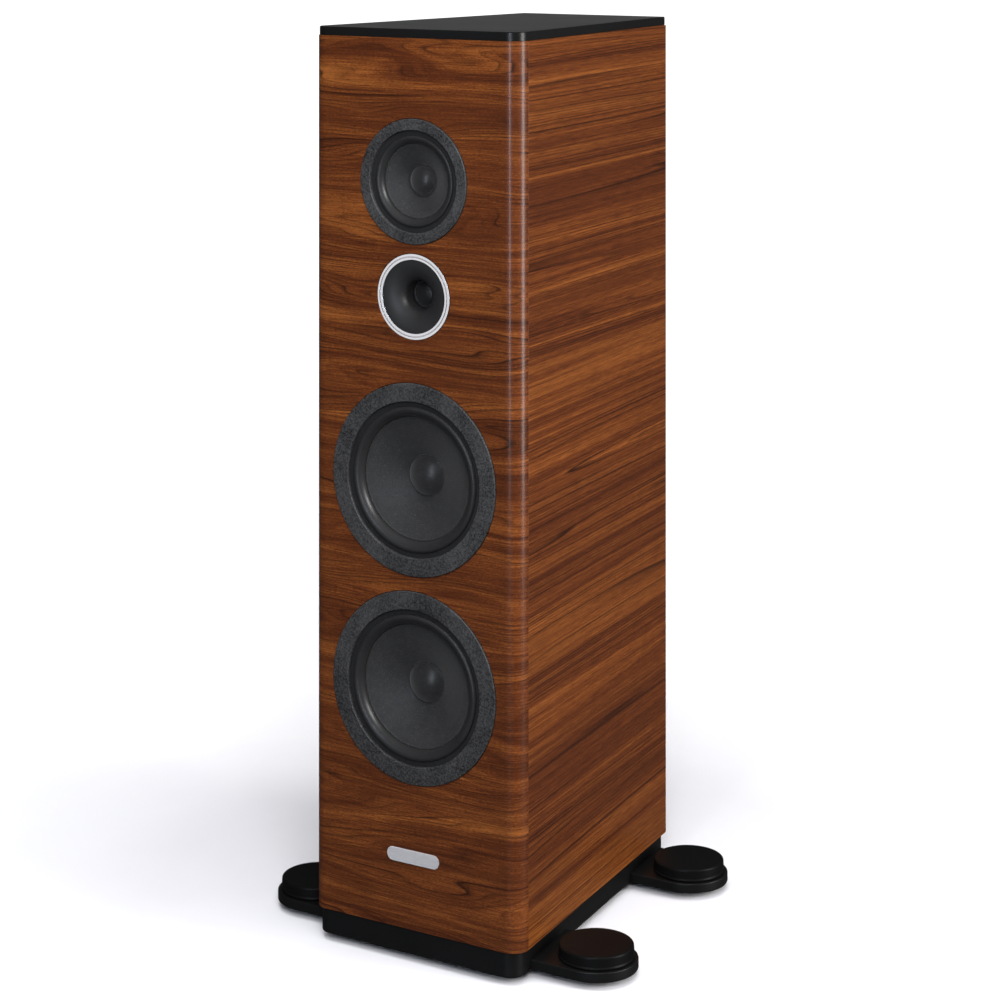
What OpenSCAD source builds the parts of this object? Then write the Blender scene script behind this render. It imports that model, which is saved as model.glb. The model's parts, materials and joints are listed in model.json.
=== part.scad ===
// Three-way floorstanding loudspeaker with a tapered cabinet and two outrigger bars.
// Units are millimetres. The origin is on the floor, at the middle of the overall box.
// +X is the cabinet's left-to-right, -Y is the way it faces, +Z is up.
// Heights are from the floor. Depths are from the front face, and front_y carries them into
// the model's own frame. Driver outlines are [radius, height] pairs, where height is measured
// outward from the front face, so a negative height lies inside the cabinet.

/* [Cabinet] */
// Width of the front face
front_w = 300; // [280:1:340]
// Width of the rear face
rear_w = 220; // [200:1:260]
// Depth of the cabinet
cabinet_d = 445; // [420:1:480]
// Height of the wooden body
wood_h = 1072; // [1040:1:1100]
// Radius of the two upright front edges
edge_r = 20; // [8:1:21]
// Thickness of the front baffle
baffle_t = 22; // [22:1:24]
// Thickness of the side and back panels
panel_t = 20; // [16:1:22]
// Thickness of the top cover
cover_t = 11; // [8:1:16]
// How far the top cover stays inside the cabinet's outline
cover_inset = 1; // [0:0.5:3]

/* [Base] */
// Gap between the floor and the plinth
floor_gap = 10; // [10:1:12]
// Height of the plinth
plinth_h = 30; // [24:1:36]
// How far the plinth's sides stay inside the cabinet's
plinth_side_inset = 5; // [2:0.5:10]
// How far the plinth's front stays behind the cabinet's
plinth_front_inset = 1.5; // [0:0.5:10]
// Thickness of an outrigger bar
bar_t = 12; // [10:1:14]
// Half the width of an outrigger bar, which is also its end radius
bar_r = 50; // [48:1:56]
// Sideways distance from the middle to each front foot
front_foot_x = 203; // [198:1:215]
// Sideways distance from the middle to each rear foot
rear_foot_x = 174; // [168:1:190]
// Depth of the front feet behind the front face
front_foot_depth = 88; // [80:1:100]
// Depth of the rear feet behind the front face
rear_foot_depth = 386; // [370:1:390]

/* [Levelling feet] */
// Radius of a levelling handwheel
wheel_r = 46; // [40:1:47]
// Height of a levelling handwheel
wheel_h = 16; // [12:1:20]
// Radius of the hub that turns in the bar
hub_r = 14; // [12:1:18]
// Radius of the spindle that the handwheel drives
spindle_r = 6; // [5:0.5:8]
// Radius of the floor pad
pad_r = 24; // [18:1:30]
// Height of the floor pad
pad_h = 8; // [6:0.5:8]

/* [Driver heights] */
// Height of the midrange's centre
midrange_z = 939.7; // [930:0.1:960]
// Height of the tweeter's centre
tweeter_z = 801.2; // [790:0.1:810]
// Height of the upper woofer's centre
upper_woofer_z = 581.2; // [575:0.1:590]
// Height of the lower woofer's centre
lower_woofer_z = 331; // [325:0.1:335]

/* [Cone drivers: woofer, midrange] */
// Outer radius of the trim ring
ring_r = [116, 75.7]; // [70:0.1:118]
// Inner radius of the trim ring
opening_r = [94, 62]; // [56:0.1:98]
// Outer radius of the surround's roll
surround_r = [88, 55.5]; // [50:0.1:92]
// Height of the surround's roll
roll_h = [6, 4]; // [3:0.5:8]
// Radius of the cone
cone_r = [75, 45.7]; // [40:0.1:80]
// Depth of the cone's outer edge
cone_edge_depth = [9, 8]; // [6:0.5:12]
// Depth of the cone's neck
neck_depth = [32, 25]; // [20:0.5:40]
// Radius of the dust cap
cap_r = [24.5, 20]; // [16:0.5:30]
// Radius of the voice coil
coil_r = [22, 15.5]; // [12:0.5:24]
// Outer radius of the spider
spider_r = [60, 41]; // [36:1:64]
// Depth of the spider
spider_depth = [47, 35]; // [30:1:55]
// Depth of the magnet system's front plate
motor_depth = [67, 51]; // [46:1:75]
// Radius of the magnet
magnet_r = [62, 45]; // [40:1:70]
// Thickness of the magnet
magnet_t = [22, 16]; // [12:1:26]
// Thickness of the steel plates on the magnet
plate_t = [8, 6]; // [5:1:10]

/* [Tweeter] */
// Outer radius of the polished ring
tweeter_ring_r = 51.7; // [50:0.1:53]
// Radius of the horn's mouth
mouth_r = 44.2; // [42:0.1:46]
// Radius of the horn's throat
throat_r = 18.7; // [16:0.1:20]
// Depth at which the flare becomes the throat
flare_depth = 17; // [14:0.5:20]
// Radius of the dome and of its voice coil
dome_r = 14; // [12.5:0.5:14.5]

/* [Rear fittings] */
// Radius of a reflex port's bore
port_r = 31; // [25:1:34]
// Length of a reflex port
port_length = 160; // [120:5:180]
// Heights of the reflex ports
port_z = [620, 880]; // [600:10:900]
// Height of the terminal plate's centre
terminal_z = 150; // [140:5:170]
// Distance between the two binding posts
post_spacing = 60; // [38:1:70]
// Radius of a binding post's thread
post_r = 4; // [3.5:0.5:5]
// Radius of the banana plug socket in each post
socket_r = 2; // [2:0.05:2.1]
// Depth of the banana plug socket
socket_depth = 20; // [15:1:20]

/* [Hidden] */
$fn = 72;

// Radial running clearance of every part that turns or slides in a bore
running_gap = 0.06;
// Clearance around parts that are set into recesses
seat_gap = 0.4;
// Glue line between a side panel and whatever is fixed to its inner face
glue_line = 0.05;

// Levels, from the floor up
plinth_top = floor_gap + plinth_h;
wood_top = plinth_top + wood_h;
bar_top = floor_gap + bar_t;

// Angle between a side panel and the centre line
taper = atan((front_w - rear_w) / 2 / cabinet_d);
// Sideways thickness of a side panel
side_t = panel_t / cos(taper);
back_inner = cabinet_d - panel_t;

// Binding post stack, outward from the rear face
collar_h = 3;
washer_t = 1.5;
cap_h = 18;
cap_gap = 0.1;
post_end = collar_h + washer_t + cap_gap + cap_h + 1;

// How far the trim rings stand out of the front face
ring_proud = 2;
// Places the front face so that the overall box is centred on the origin
front_y = -(cabinet_d + post_end - ring_proud) / 2;

// Indices into the cone driver dimensions
WOOFER = 0;
MIDRANGE = 1;
WOOFER_Z = [lower_woofer_z, upper_woofer_z];

// Heights of the driver stack, outward from the front face
seat_h = -9;
flange_top = -4;
lip_top = -3;
flange_out = 0.5;
screw_inset = [6, 5];
skin = 1.2;
screws = [8, 6];
spider_lip = 5;

// ---------- Placing ----------

module in_cabinet() translate([0, front_y, 0]) children();

// Local +Z points out of the front face
module facing_front(z) in_cabinet() translate([0, 0, z]) rotate([90, 0, 0]) children();

// Local +Z points out of the rear face
module facing_rear(x, z) in_cabinet() translate([x, cabinet_d, z]) rotate([-90, 0, 0]) children();

module both_woofers() for (z = WOOFER_Z) facing_front(z) children();

module ring_of(count, radius) for (i = [0:count - 1]) rotate([0, 0, 360 / count * (i + 0.5)])
  translate([radius, 0, 0]) children();

// ---------- Outlines ----------

function half_width(depth) = (front_w - (front_w - rear_w) * depth / cabinet_d) / 2;
function inner_half(depth) = half_width(depth) - side_t;
function glued_half(depth) = inner_half(depth) - glue_line;

function arc(cx, cy, r, from, to, steps = 14) =
  [for (i = [0:steps]) let (a = from + (to - from) * i / steps) [cx + r * cos(a), cy + r * sin(a)]];

function mirrored(points) = [for (i = [len(points) - 1:-1:0]) [-points[i].x, points[i].y]];

// Right half of the plan with its rounded front edge, then mirrored to the left
function plan(side_in, front_in, rear_depth, r) =
  let (cy = front_in + r,
       cx = front_w / 2 - side_in - (r + sin(taper) * cy) / cos(taper),
       half = concat(arc(cx, cy, r, -90, taper), [[half_width(rear_depth) - side_in, rear_depth]]))
  concat(half, mirrored(half));

function lerp(a, b, t) = a + (b - a) * t;

// A thin skin that follows a line of points
function skin_of(line, t) =
  concat(line, [for (i = [len(line) - 1:-1:0]) [line[i].x, line[i].y - t]]);

// Height of the cone's front surface at a radius
function cone_height(d, r) =
  -lerp(cone_edge_depth[d], neck_depth[d], pow((cone_r[d] - r) / (cone_r[d] - coil_r[d]), 1.2));

// A dome from its rim at radius r, rising by rise
function dome_line(r, base, rise, steps = 10) =
  let (ball = (r * r + rise * rise) / (2 * rise), half = asin(r / ball))
  [for (i = [0:steps]) let (a = half * i / steps) [ball * sin(a), base + rise - ball * (1 - cos(a))]];

// ---------- Shared shapes ----------

module revolve(points) rotate_extrude() polygon(points);

module ring(inner, outer, low, high)
  revolve([[inner, low], [outer, low], [outer, high], [inner, high]]);

// Board across the cabinet between the side panels
module board(depth0, depth1, z0, z1)
  translate([0, 0, z0]) linear_extrude(z1 - z0)
    polygon([[-glued_half(depth0), depth0], [glued_half(depth0), depth0],
             [glued_half(depth1), depth1], [-glued_half(depth1), depth1]]);

module rounded_plate(w, h, t, r)
  linear_extrude(t) polygon(concat(
    arc(w / 2 - r, h / 2 - r, r, 0, 90, 8), arc(-w / 2 + r, h / 2 - r, r, 90, 180, 8),
    arc(-w / 2 + r, -h / 2 + r, r, 180, 270, 8), arc(w / 2 - r, -h / 2 + r, r, 270, 360, 8)));

// Eight-sided wire through a list of points. Each run starts early, to fill the bend before it.
module wire(points, r) for (i = [0:len(points) - 2]) {
  run = points[i + 1] - points[i];
  early = i == 0 ? 0 : r / 2;
  translate(points[i]) rotate([0, acos(run.z / norm(run)), atan2(run.y, run.x)])
    translate([0, 0, -early]) cylinder(r = r, h = norm(run) + early, $fn = 8);
}

// ---------- Cabinet ----------

// Recess, through hole and screw holes for one driver, cut from the front
module driver_cutout(recess_r, recess_h, hole_r, screws, circle_r) {
  translate([0, 0, recess_h]) cylinder(r = recess_r + seat_gap, h = 30);
  translate([0, 0, -baffle_t - 1]) cylinder(r = hole_r, h = baffle_t + 2);
  ring_of(screws, circle_r) translate([0, 0, screw_tip_h]) cylinder(r = screw_r + 0.1, h = 20);
}

module cone_driver_cutout(d)
  driver_cutout(ring_r[d], seat_h, basket_r[d] + seat_gap, screws[d], ring_r[d] - screw_inset[d]);

module front_baffle() color("saddlebrown") difference() {
  in_cabinet() translate([0, 0, plinth_top]) linear_extrude(wood_h)
    polygon(plan(0, 0, baffle_t, edge_r));
  both_woofers() cone_driver_cutout(WOOFER);
  facing_front(midrange_z) cone_driver_cutout(MIDRANGE);
  facing_front(tweeter_z) driver_cutout(tweeter_ring_r, horn_seat_h, horn_body_r + 2,
                                        tweeter_screws, horn_screw_r);
}

module side_panel() in_cabinet() translate([0, 0, plinth_top]) linear_extrude(wood_h)
  polygon([[half_width(baffle_t), baffle_t], [half_width(cabinet_d), cabinet_d],
           [inner_half(cabinet_d), cabinet_d], [inner_half(baffle_t), baffle_t]]);

module right_side_panel() color("sienna") side_panel();
module left_side_panel() color("sienna") mirror([1, 0, 0]) side_panel();

module back_panel() color("saddlebrown") difference() {
  in_cabinet() board(back_inner, cabinet_d, plinth_top, wood_top);
  for (z = port_z) facing_rear(0, z) {
    translate([0, 0, -port_flange_t]) cylinder(r = port_flange_r + seat_gap, h = 30);
    translate([0, 0, -panel_t - 1]) cylinder(r = port_r + port_wall + seat_gap, h = panel_t + 2);
  }
  facing_rear(0, terminal_z) {
    translate([0, 0, -terminal_t]) rounded_plate(terminal_w + 1, terminal_h + 1, 30, 8);
    translate([0, 0, -panel_t - 1])
      rounded_plate(terminal_w - 30, terminal_h - 30, panel_t + 2, 8);
    terminal_screw_places() translate([0, 0, -14]) cylinder(r = screw_r + 0.1, h = 20);
  }
}

// Structural boards at the top and bottom, under the cover and over the plinth
end_board_t = 22;
module end_boards() color("burlywood") {
  in_cabinet() board(baffle_t, back_inner, wood_top - end_board_t, wood_top);
  difference() {
    in_cabinet() board(baffle_t, back_inner, plinth_top, plinth_top + end_board_t);
    bolt_places() translate([0, 0, plinth_top - 1]) cylinder(r = bolt_r + 0.1, h = bolt_end);
  }
}

module top_cover() color("#26262a") in_cabinet() translate([0, 0, wood_top])
  linear_extrude(cover_t)
    polygon(plan(cover_inset, cover_inset, cabinet_d - cover_inset, edge_r - cover_inset));

// Window braces above, between and below the woofers
brace_t = 18;
brace_z = [190, 447];
module brace_windows(z) for (side = [-1, 1], row = [[60, 130], [225, 160]])
  translate([side * 46 - 34, row[0], z - 1]) cube([68, row[1], brace_t + 2]);

module shelf_braces() color("burlywood") for (z = brace_z) in_cabinet() difference() {
  board(baffle_t, back_inner, z, z + brace_t);
  brace_windows(z);
}

// Sealed box behind the midrange and the tweeter
chamber_z = 702;
chamber_depth = 200;
cable_hole_r = 6;
module midrange_chamber() color("burlywood") in_cabinet() difference() {
  union() {
    board(baffle_t, chamber_depth, chamber_z, chamber_z + brace_t);
    board(chamber_depth, chamber_depth + brace_t, chamber_z, wood_top - end_board_t);
  }
  for (z = [tweeter_z, midrange_z]) translate([cable_x, chamber_depth - 1, z])
    rotate([-90, 0, 0]) cylinder(r = cable_hole_r, h = brace_t + 2);
}

// Felt sheets on the side panels behind the drivers
damping_t = 10;
damping_front = 70;
damping_spans = [[215, 440], [472, 695], [730, 1080]];
module damping_pads() color("dimgray") in_cabinet() for (side = [-1, 1], span = damping_spans) {
  rear = span[0] > chamber_z ? chamber_depth - 10 : 390;
  translate([0, 0, span[0]]) linear_extrude(span[1] - span[0])
    polygon([[side * glued_half(damping_front), damping_front], [side * glued_half(rear), rear],
             [side * (glued_half(rear) - damping_t), rear],
             [side * (glued_half(damping_front) - damping_t), damping_front]]);
}

// Blank name plate
badge_w = 74;
badge_h = 16.5;
badge_t = 1.2;
badge_r = 8;
badge_z = 127.5;
module badge() color("silver") facing_front(badge_z) rounded_plate(badge_w, badge_h, badge_t, badge_r);

// Flared reflex port, from its flange at the rear face inward
port_wall = 3;
port_flange_t = 4;
port_flange_r = 46;
port_flare_r = 9;
module port_tube() {
  flare = arc(port_r + port_flare_r, -port_flare_r, port_flare_r, 90, 180, 8);
  revolve(concat(flare,
    [[port_r, -port_length], [port_r + port_wall, -port_length],
     [port_r + port_wall, -port_flange_t], [port_flange_r, -port_flange_t], [port_flange_r, 0]]));
}
module port_tubes() color("#1c1c1c") for (z = port_z) facing_rear(0, z) port_tube();

// ---------- Base ----------

bolt_r = 4;
bolt_end = 14;
bolt_head_r = 8;
bolt_head_h = 4;
bar_depths = [front_foot_depth, rear_foot_depth];
bar_half = [front_foot_x, rear_foot_x];

module bolt_places() in_cabinet() for (depth = bar_depths, x = [-70, 70], dy = [-25, 25])
  translate([x, depth + dy * (depth < 200 ? 1 : 0.8), 0]) children();

// Stadium outline of one bar: straight between the feet, round past them
module bar_shape(foot_x, depth, extra, height)
  in_cabinet() translate([0, depth, floor_gap]) linear_extrude(height)
    polygon(concat(arc(foot_x, 0, bar_r + extra, -90, 90, 32),
                   arc(-foot_x, 0, bar_r + extra, 90, 270, 32)));

module plinth() color("#1a1a1c") difference() {
  in_cabinet() translate([0, 0, floor_gap]) linear_extrude(plinth_h)
    polygon(plan(plinth_side_inset, plinth_front_inset, cabinet_d - plinth_side_inset,
                 edge_r - plinth_front_inset));
  for (i = [0, 1]) translate([0, 0, -1]) bar_shape(bar_half[i], bar_depths[i], seat_gap, bar_t + 1);
  bolt_places() translate([0, 0, bar_top - 1]) cylinder(r = bolt_r + 0.1, h = plinth_h);
}

module outrigger(foot_x, depth) difference() {
  bar_shape(foot_x, depth, 0, bar_t);
  in_cabinet() for (side = [-1, 1]) translate([side * foot_x, depth, floor_gap - 1])
    cylinder(r = hub_r + running_gap, h = bar_t + 2);
  bolt_places() translate([0, 0, floor_gap - 1]) {
    cylinder(r = bolt_r + 0.1, h = bar_t + 2);
    cylinder(r = bolt_head_r + 0.2, h = bolt_head_h + 1.2);
  }
}
module front_outrigger() color("#1a1a1c") outrigger(front_foot_x, front_foot_depth);
module rear_outrigger() color("#1a1a1c") outrigger(rear_foot_x, rear_foot_depth);

module outrigger_bolts() color("gray") bolt_places() translate([0, 0, floor_gap + 0.2])
  difference() {
    union() {
      cylinder(r = bolt_head_r, h = bolt_head_h);
      cylinder(r = bolt_r, h = plinth_h + bolt_end - 3);
    }
    translate([0, 0, -1]) cylinder(r = 2.9, h = 3.5, $fn = 6);
  }

// ---------- Levelling feet ----------

wheel_low = bar_top + 0.2;
wheel_edge_r = 3;
hub_low = floor_gap + 1;
spindle_top = 30;
module at_foot(x, depth) in_cabinet() translate([x, depth, 0]) children();

// Handwheel with its hub, bored blind for the spindle
module handwheel() {
  edge = arc(wheel_r - 1 - wheel_edge_r, wheel_low + wheel_h - wheel_edge_r, wheel_edge_r, 0, 90, 8);
  bore = spindle_r + running_gap;
  revolve(concat(
    [[bore, hub_low], [hub_r, hub_low], [hub_r, wheel_low], [wheel_r - 1, wheel_low],
     [wheel_r, wheel_low + 1], [wheel_r, wheel_low + 2]], edge,
    [[0, wheel_low + wheel_h], [0, spindle_top + 4], [bore, spindle_top + 4]]));
}

// Spindle on its floor pad
module levelling_foot() {
  cylinder(r = spindle_r, h = spindle_top);
  ring(0, pad_r, pad_h - 2, pad_h);
  revolve([[0, 0], [pad_r - 3, 0], [pad_r - 1, 2], [pad_r - 1, pad_h - 2], [0, pad_h - 2]]);
}

module handwheel_front_left() color("#1a1a1c") at_foot(-front_foot_x, front_foot_depth) handwheel();
module handwheel_front_right() color("#1a1a1c") at_foot(front_foot_x, front_foot_depth) handwheel();
module handwheel_rear_left() color("#1a1a1c") at_foot(-rear_foot_x, rear_foot_depth) handwheel();
module handwheel_rear_right() color("#1a1a1c") at_foot(rear_foot_x, rear_foot_depth) handwheel();
module foot_front_left() color("dimgray") at_foot(-front_foot_x, front_foot_depth) levelling_foot();
module foot_front_right() color("dimgray") at_foot(front_foot_x, front_foot_depth) levelling_foot();
module foot_rear_left() color("dimgray") at_foot(-rear_foot_x, rear_foot_depth) levelling_foot();
module foot_rear_right() color("dimgray") at_foot(rear_foot_x, rear_foot_depth) levelling_foot();

// ---------- Cone drivers ----------

// Radius of the basket where it enters the baffle
basket_r = [103, 66];
wall_t = 4;
spoke_w = 16;

// Trim ring, chamfered on both edges and stepped underneath over the surround's lip
module trim_ring(d) {
  lip = surround_r[d] + 9;
  chamfer = 1;
  revolve([[opening_r[d], lip_top], [lip, lip_top], [lip, flange_top], [ring_r[d], flange_top],
           [ring_r[d], ring_proud - chamfer], [ring_r[d] - chamfer, ring_proud],
           [opening_r[d] + chamfer, ring_proud], [opening_r[d], ring_proud - chamfer]]);
}

// Cast basket: flange, tapering spoked wall, spider shelf and rear plate
module basket(d, windows) {
  wall_in = spider_r[d] + 3;
  flange_in = surround_r[d] + flange_out;
  flange_r = ring_r[d] - 0.5;
  plate_top = -motor_depth[d] + wall_t;
  shelf_h = -spider_depth[d] - 1;
  shelf_in = spider_r[d] - spider_lip + 0.5;
  window_w = 2 * PI * wall_in / windows - spoke_w;
  difference() {
    revolve([[flange_in, flange_top], [flange_r, flange_top], [flange_r, seat_h],
             [basket_r[d], seat_h], [basket_r[d], -15], [wall_in + wall_t, shelf_h - wall_t],
             [wall_in + wall_t, -motor_depth[d]], [coil_r[d] + 9, -motor_depth[d]],
             [coil_r[d] + 9, plate_top], [wall_in, plate_top], [wall_in, shelf_h - wall_t],
             [shelf_in, shelf_h - wall_t], [shelf_in, shelf_h],
             [wall_in, shelf_h], [flange_in, seat_h - 1]]);
    for (i = [0:windows - 1]) rotate([0, 0, 360 / windows * i])
      translate([wall_in - 2, -window_w / 2, shelf_h + 3])
        cube([basket_r[d], window_w, -15 - shelf_h - 5]);
    ring_of(screws[d], ring_r[d] - screw_inset[d]) screw_clearance();
  }
}

// Stack behind the basket: front plate, magnet, and yoke with its vented pole
function magnet_top(d) = -motor_depth[d] - plate_t[d];
function yoke_top(d) = magnet_top(d) - magnet_t[d];
module front_plate(d) ring(coil_r[d] + 1.9, magnet_r[d] - 4, magnet_top(d), -motor_depth[d]);
module magnet(d) ring(coil_r[d] + 8, magnet_r[d], yoke_top(d), magnet_top(d));
module yoke(d) {
  pole = coil_r[d] - 1.4;
  vent = coil_r[d] * 0.4;
  low = yoke_top(d) - plate_t[d];
  revolve([[vent, low], [magnet_r[d] - 6, low], [magnet_r[d] - 4, low + 2],
           [magnet_r[d] - 4, yoke_top(d)], [pole, yoke_top(d)], [pole, -motor_depth[d]],
           [vent, -motor_depth[d]]]);
}

// Paper cone from the surround to its neck
module cone(d) {
  line = [for (i = [0:12]) let (r = lerp(cone_r[d], coil_r[d], i / 12)) [r, cone_height(d, r)]];
  revolve(skin_of(line, skin));
}

// Dome glued to the cone. The midrange's has a flat flange around a smaller dome.
module dust_cap(d) {
  base = cone_height(d, cap_r[d]) + skin + 0.05;
  crown = d == WOOFER ? cap_r[d] : cap_r[d] - 3;
  line = dome_line(crown, base, crown * 0.42);
  revolve(skin_of(d == WOOFER ? line : concat(line, [[cap_r[d], base]]), skin));
}

// Paper former with its copper winding, centred in the front plate's gap
module voice_coil(d) {
  mid = -motor_depth[d] - plate_t[d] / 2;
  reach = plate_t[d];
  revolve([[coil_r[d] - 0.5, mid - reach - 2], [coil_r[d], mid - reach - 2],
           [coil_r[d], mid - reach], [coil_r[d] + 0.9, mid - reach], [coil_r[d] + 0.9, mid + reach],
           [coil_r[d], mid + reach], [coil_r[d], -neck_depth[d] - 0.2],
           [coil_r[d] - 0.5, -neck_depth[d] - 0.2]]);
}

// Rubber half-roll between the cone and the basket's flange, with its glued lip
module surround(d) {
  line = [for (i = [0:18]) let (t = (1 - cos(10 * i)) / 2)
    [lerp(cone_r[d] + 0.02, surround_r[d], t),
     lerp(-cone_edge_depth[d], lip_top, t) + roll_h[d] * sin(10 * i)]];
  revolve(skin_of(concat(line, [[surround_r[d] + 8.5, lip_top]]), 1));
}

// Corrugated centring disc on the basket's shelf
module spider(d) {
  line = [for (i = [0:48]) let (t = i / 48)
    [lerp(coil_r[d] + 0.02, spider_r[d] - spider_lip, t),
     -spider_depth[d] + 1.5 * sin(360 * 5 * t)]];
  revolve(skin_of(concat(line, [[spider_r[d] + 1, -spider_depth[d]]]), 1));
}

module woofer_trim_rings() color("#242426") both_woofers() trim_ring(WOOFER);
module woofer_baskets() color("#303033") both_woofers() basket(WOOFER, 6);
module midrange_trim_ring() color("#242426") facing_front(midrange_z) trim_ring(MIDRANGE);
module midrange_basket() color("#303033") facing_front(midrange_z) basket(MIDRANGE, 4);

module upper_woofer_cone() color("#2b2b2d") facing_front(upper_woofer_z) cone(WOOFER);
module upper_woofer_dust_cap() color("#333335") facing_front(upper_woofer_z) dust_cap(WOOFER);
module upper_woofer_voice_coil() color("peru") facing_front(upper_woofer_z) voice_coil(WOOFER);
module upper_woofer_surround() color("#151515") facing_front(upper_woofer_z) surround(WOOFER);
module upper_woofer_spider() color("goldenrod") facing_front(upper_woofer_z) spider(WOOFER);
module lower_woofer_cone() color("#2b2b2d") facing_front(lower_woofer_z) cone(WOOFER);
module lower_woofer_dust_cap() color("#333335") facing_front(lower_woofer_z) dust_cap(WOOFER);
module lower_woofer_voice_coil() color("peru") facing_front(lower_woofer_z) voice_coil(WOOFER);
module lower_woofer_surround() color("#151515") facing_front(lower_woofer_z) surround(WOOFER);
module lower_woofer_spider() color("goldenrod") facing_front(lower_woofer_z) spider(WOOFER);
module midrange_cone() color("#2b2b2d") facing_front(midrange_z) cone(MIDRANGE);
module midrange_dust_cap() color("#333335") facing_front(midrange_z) dust_cap(MIDRANGE);
module midrange_voice_coil() color("peru") facing_front(midrange_z) voice_coil(MIDRANGE);
module midrange_surround() color("#151515") facing_front(midrange_z) surround(MIDRANGE);
module midrange_spider() color("goldenrod") facing_front(midrange_z) spider(MIDRANGE);

// ---------- Tweeter ----------

// Heights of the tweeter's stack, outward from the front face
horn_seat_h = -8;
horn_flange_top = -3.5;
throat_end = -25;
horn_back = -31;
tweeter_plate_t = 4;
tweeter_magnet_t = 12;
tweeter_yoke_t = 5;
horn_body_r = 36;
horn_screw_r = 47;
tweeter_screws = 4;
tweeter_magnet_top = horn_back - tweeter_plate_t;
tweeter_yoke_top = tweeter_magnet_top - tweeter_magnet_t;
tweeter_back = tweeter_yoke_top - tweeter_yoke_t;

// Polished ring with an engraved groove
module tweeter_trim_ring() color("silver") facing_front(tweeter_z) {
  groove = (mouth_r + tweeter_ring_r) / 2;
  revolve([[mouth_r, horn_flange_top], [tweeter_ring_r, horn_flange_top],
           [tweeter_ring_r, -0.4], [tweeter_ring_r - 0.4, 0], [groove + 0.5, 0],
           [groove, -0.5], [groove - 0.5, 0], [mouth_r + 0.4, 0], [mouth_r, -0.4]]);
}

// Trumpet-shaped horn: a quarter ellipse from the mouth into a straight throat
module tweeter_horn() color("#1b1b1c") facing_front(tweeter_z) difference() {
  flare = [for (i = [0:18]) let (a = 90 - 5 * i)
    [throat_r + (mouth_r - 0.1 - throat_r) * (1 - cos(a)),
     -flare_depth + (flare_depth - 0.6) * sin(a)]];
  revolve(concat(flare,
    [[throat_r - 0.8, throat_end], [dome_r + 8, throat_end], [dome_r + 8, horn_back],
     [horn_body_r - 2, horn_back], [horn_body_r - 2, -14], [horn_body_r + 1.5, horn_seat_h],
     [tweeter_ring_r - 0.5, horn_seat_h], [tweeter_ring_r - 0.5, horn_flange_top],
     [mouth_r - 0.1, horn_flange_top]]));
  ring_of(tweeter_screws, horn_screw_r)
    translate([0, 0, horn_flange_top - flange_top]) screw_clearance();
}

// Dome with the half-roll that carries it
module tweeter_dome() color("#3a3a3c") facing_front(tweeter_z) {
  base = horn_back + 2;
  roll = [for (i = [1:8]) [dome_r + 4 * (1 - cos(22.5 * i)) / 2, base + 1.4 * sin(22.5 * i)]];
  revolve(skin_of(concat(dome_line(dome_r, base, 4), roll, [[dome_r + 6, base]]), 0.6));
}

module tweeter_voice_coil() color("peru") facing_front(tweeter_z)
  ring(dome_r - 0.4, dome_r + 0.3, horn_back - tweeter_plate_t - 1, horn_back + 1.4);

module tweeter_rear_cup() color("#1b1b1c") facing_front(tweeter_z) revolve(
  [[0, tweeter_back - 32], [27, tweeter_back - 32], [30, tweeter_back - 29], [30, tweeter_back],
   [27, tweeter_back], [27, tweeter_back - 29], [0, tweeter_back - 29]]);

// ---------- Magnet systems ----------

module for_cone_drivers() {
  both_woofers() children(0);
  facing_front(midrange_z) children(1);
}

module ferrite_magnets() color("#3b3b3d") {
  for_cone_drivers() { magnet(WOOFER); magnet(MIDRANGE); }
  facing_front(tweeter_z) ring(20, 33, tweeter_yoke_top, tweeter_magnet_top);
}

module front_plates() color("darkgray") {
  for_cone_drivers() { front_plate(WOOFER); front_plate(MIDRANGE); }
  facing_front(tweeter_z) ring(dome_r + 1.2, 34, tweeter_magnet_top, horn_back);
}

module pole_yokes() color("darkgray") {
  for_cone_drivers() { yoke(WOOFER); yoke(MIDRANGE); }
  facing_front(tweeter_z) revolve(
    [[4, tweeter_back], [32, tweeter_back], [32, tweeter_yoke_top], [dome_r - 1.2, tweeter_yoke_top],
     [dome_r - 1.2, horn_back], [4, horn_back]]);
}

// ---------- Fasteners ----------

screw_r = 2;
screw_head_r = 3.4;
screw_head_h = 2.4;
screw_tip_h = -20;
screw_length = 15;
screw_sink = 0.2;

// Screw with its head under the flange's face
module wood_screw(top, length) translate([0, 0, top - length]) difference() {
  union() {
    cylinder(r = screw_r, h = length);
    translate([0, 0, length - screw_head_h]) cylinder(r = screw_head_r, h = screw_head_h);
  }
  translate([0, 0, length - 1.6]) cylinder(r = 1.3, h = 3, $fn = 6);
}

// Hole and counterbore that a flange needs for one screw
module screw_clearance() {
  translate([0, 0, flange_top - 12]) cylinder(r = screw_r + 0.1, h = 14);
  translate([0, 0, flange_top - screw_head_h - 0.2]) cylinder(r = screw_head_r + 0.1, h = 4);
}

module terminal_screw_places()
  for (x = [-1, 1], y = [-1, 1]) translate([x * (terminal_w / 2 - 7), y * (terminal_h / 2 - 7), 0])
    children();

module flange_screws(d) ring_of(screws[d], ring_r[d] - screw_inset[d])
  wood_screw(flange_top - screw_sink, screw_length);

module wood_screws() color("dimgray") {
  both_woofers() flange_screws(WOOFER);
  facing_front(midrange_z) flange_screws(MIDRANGE);
  facing_front(tweeter_z) ring_of(tweeter_screws, horn_screw_r) 
    wood_screw(horn_flange_top - screw_sink, screw_length);
  facing_rear(0, terminal_z) terminal_screw_places() wood_screw(-0.4, 13);
}

// ---------- Rear terminals ----------

terminal_w = 120;
terminal_h = 86;
terminal_t = 4;

module at_posts() for (side = [-1, 1]) at_post(side) children();
module at_post(side) facing_rear(side * post_spacing / 2, terminal_z) children();

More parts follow.
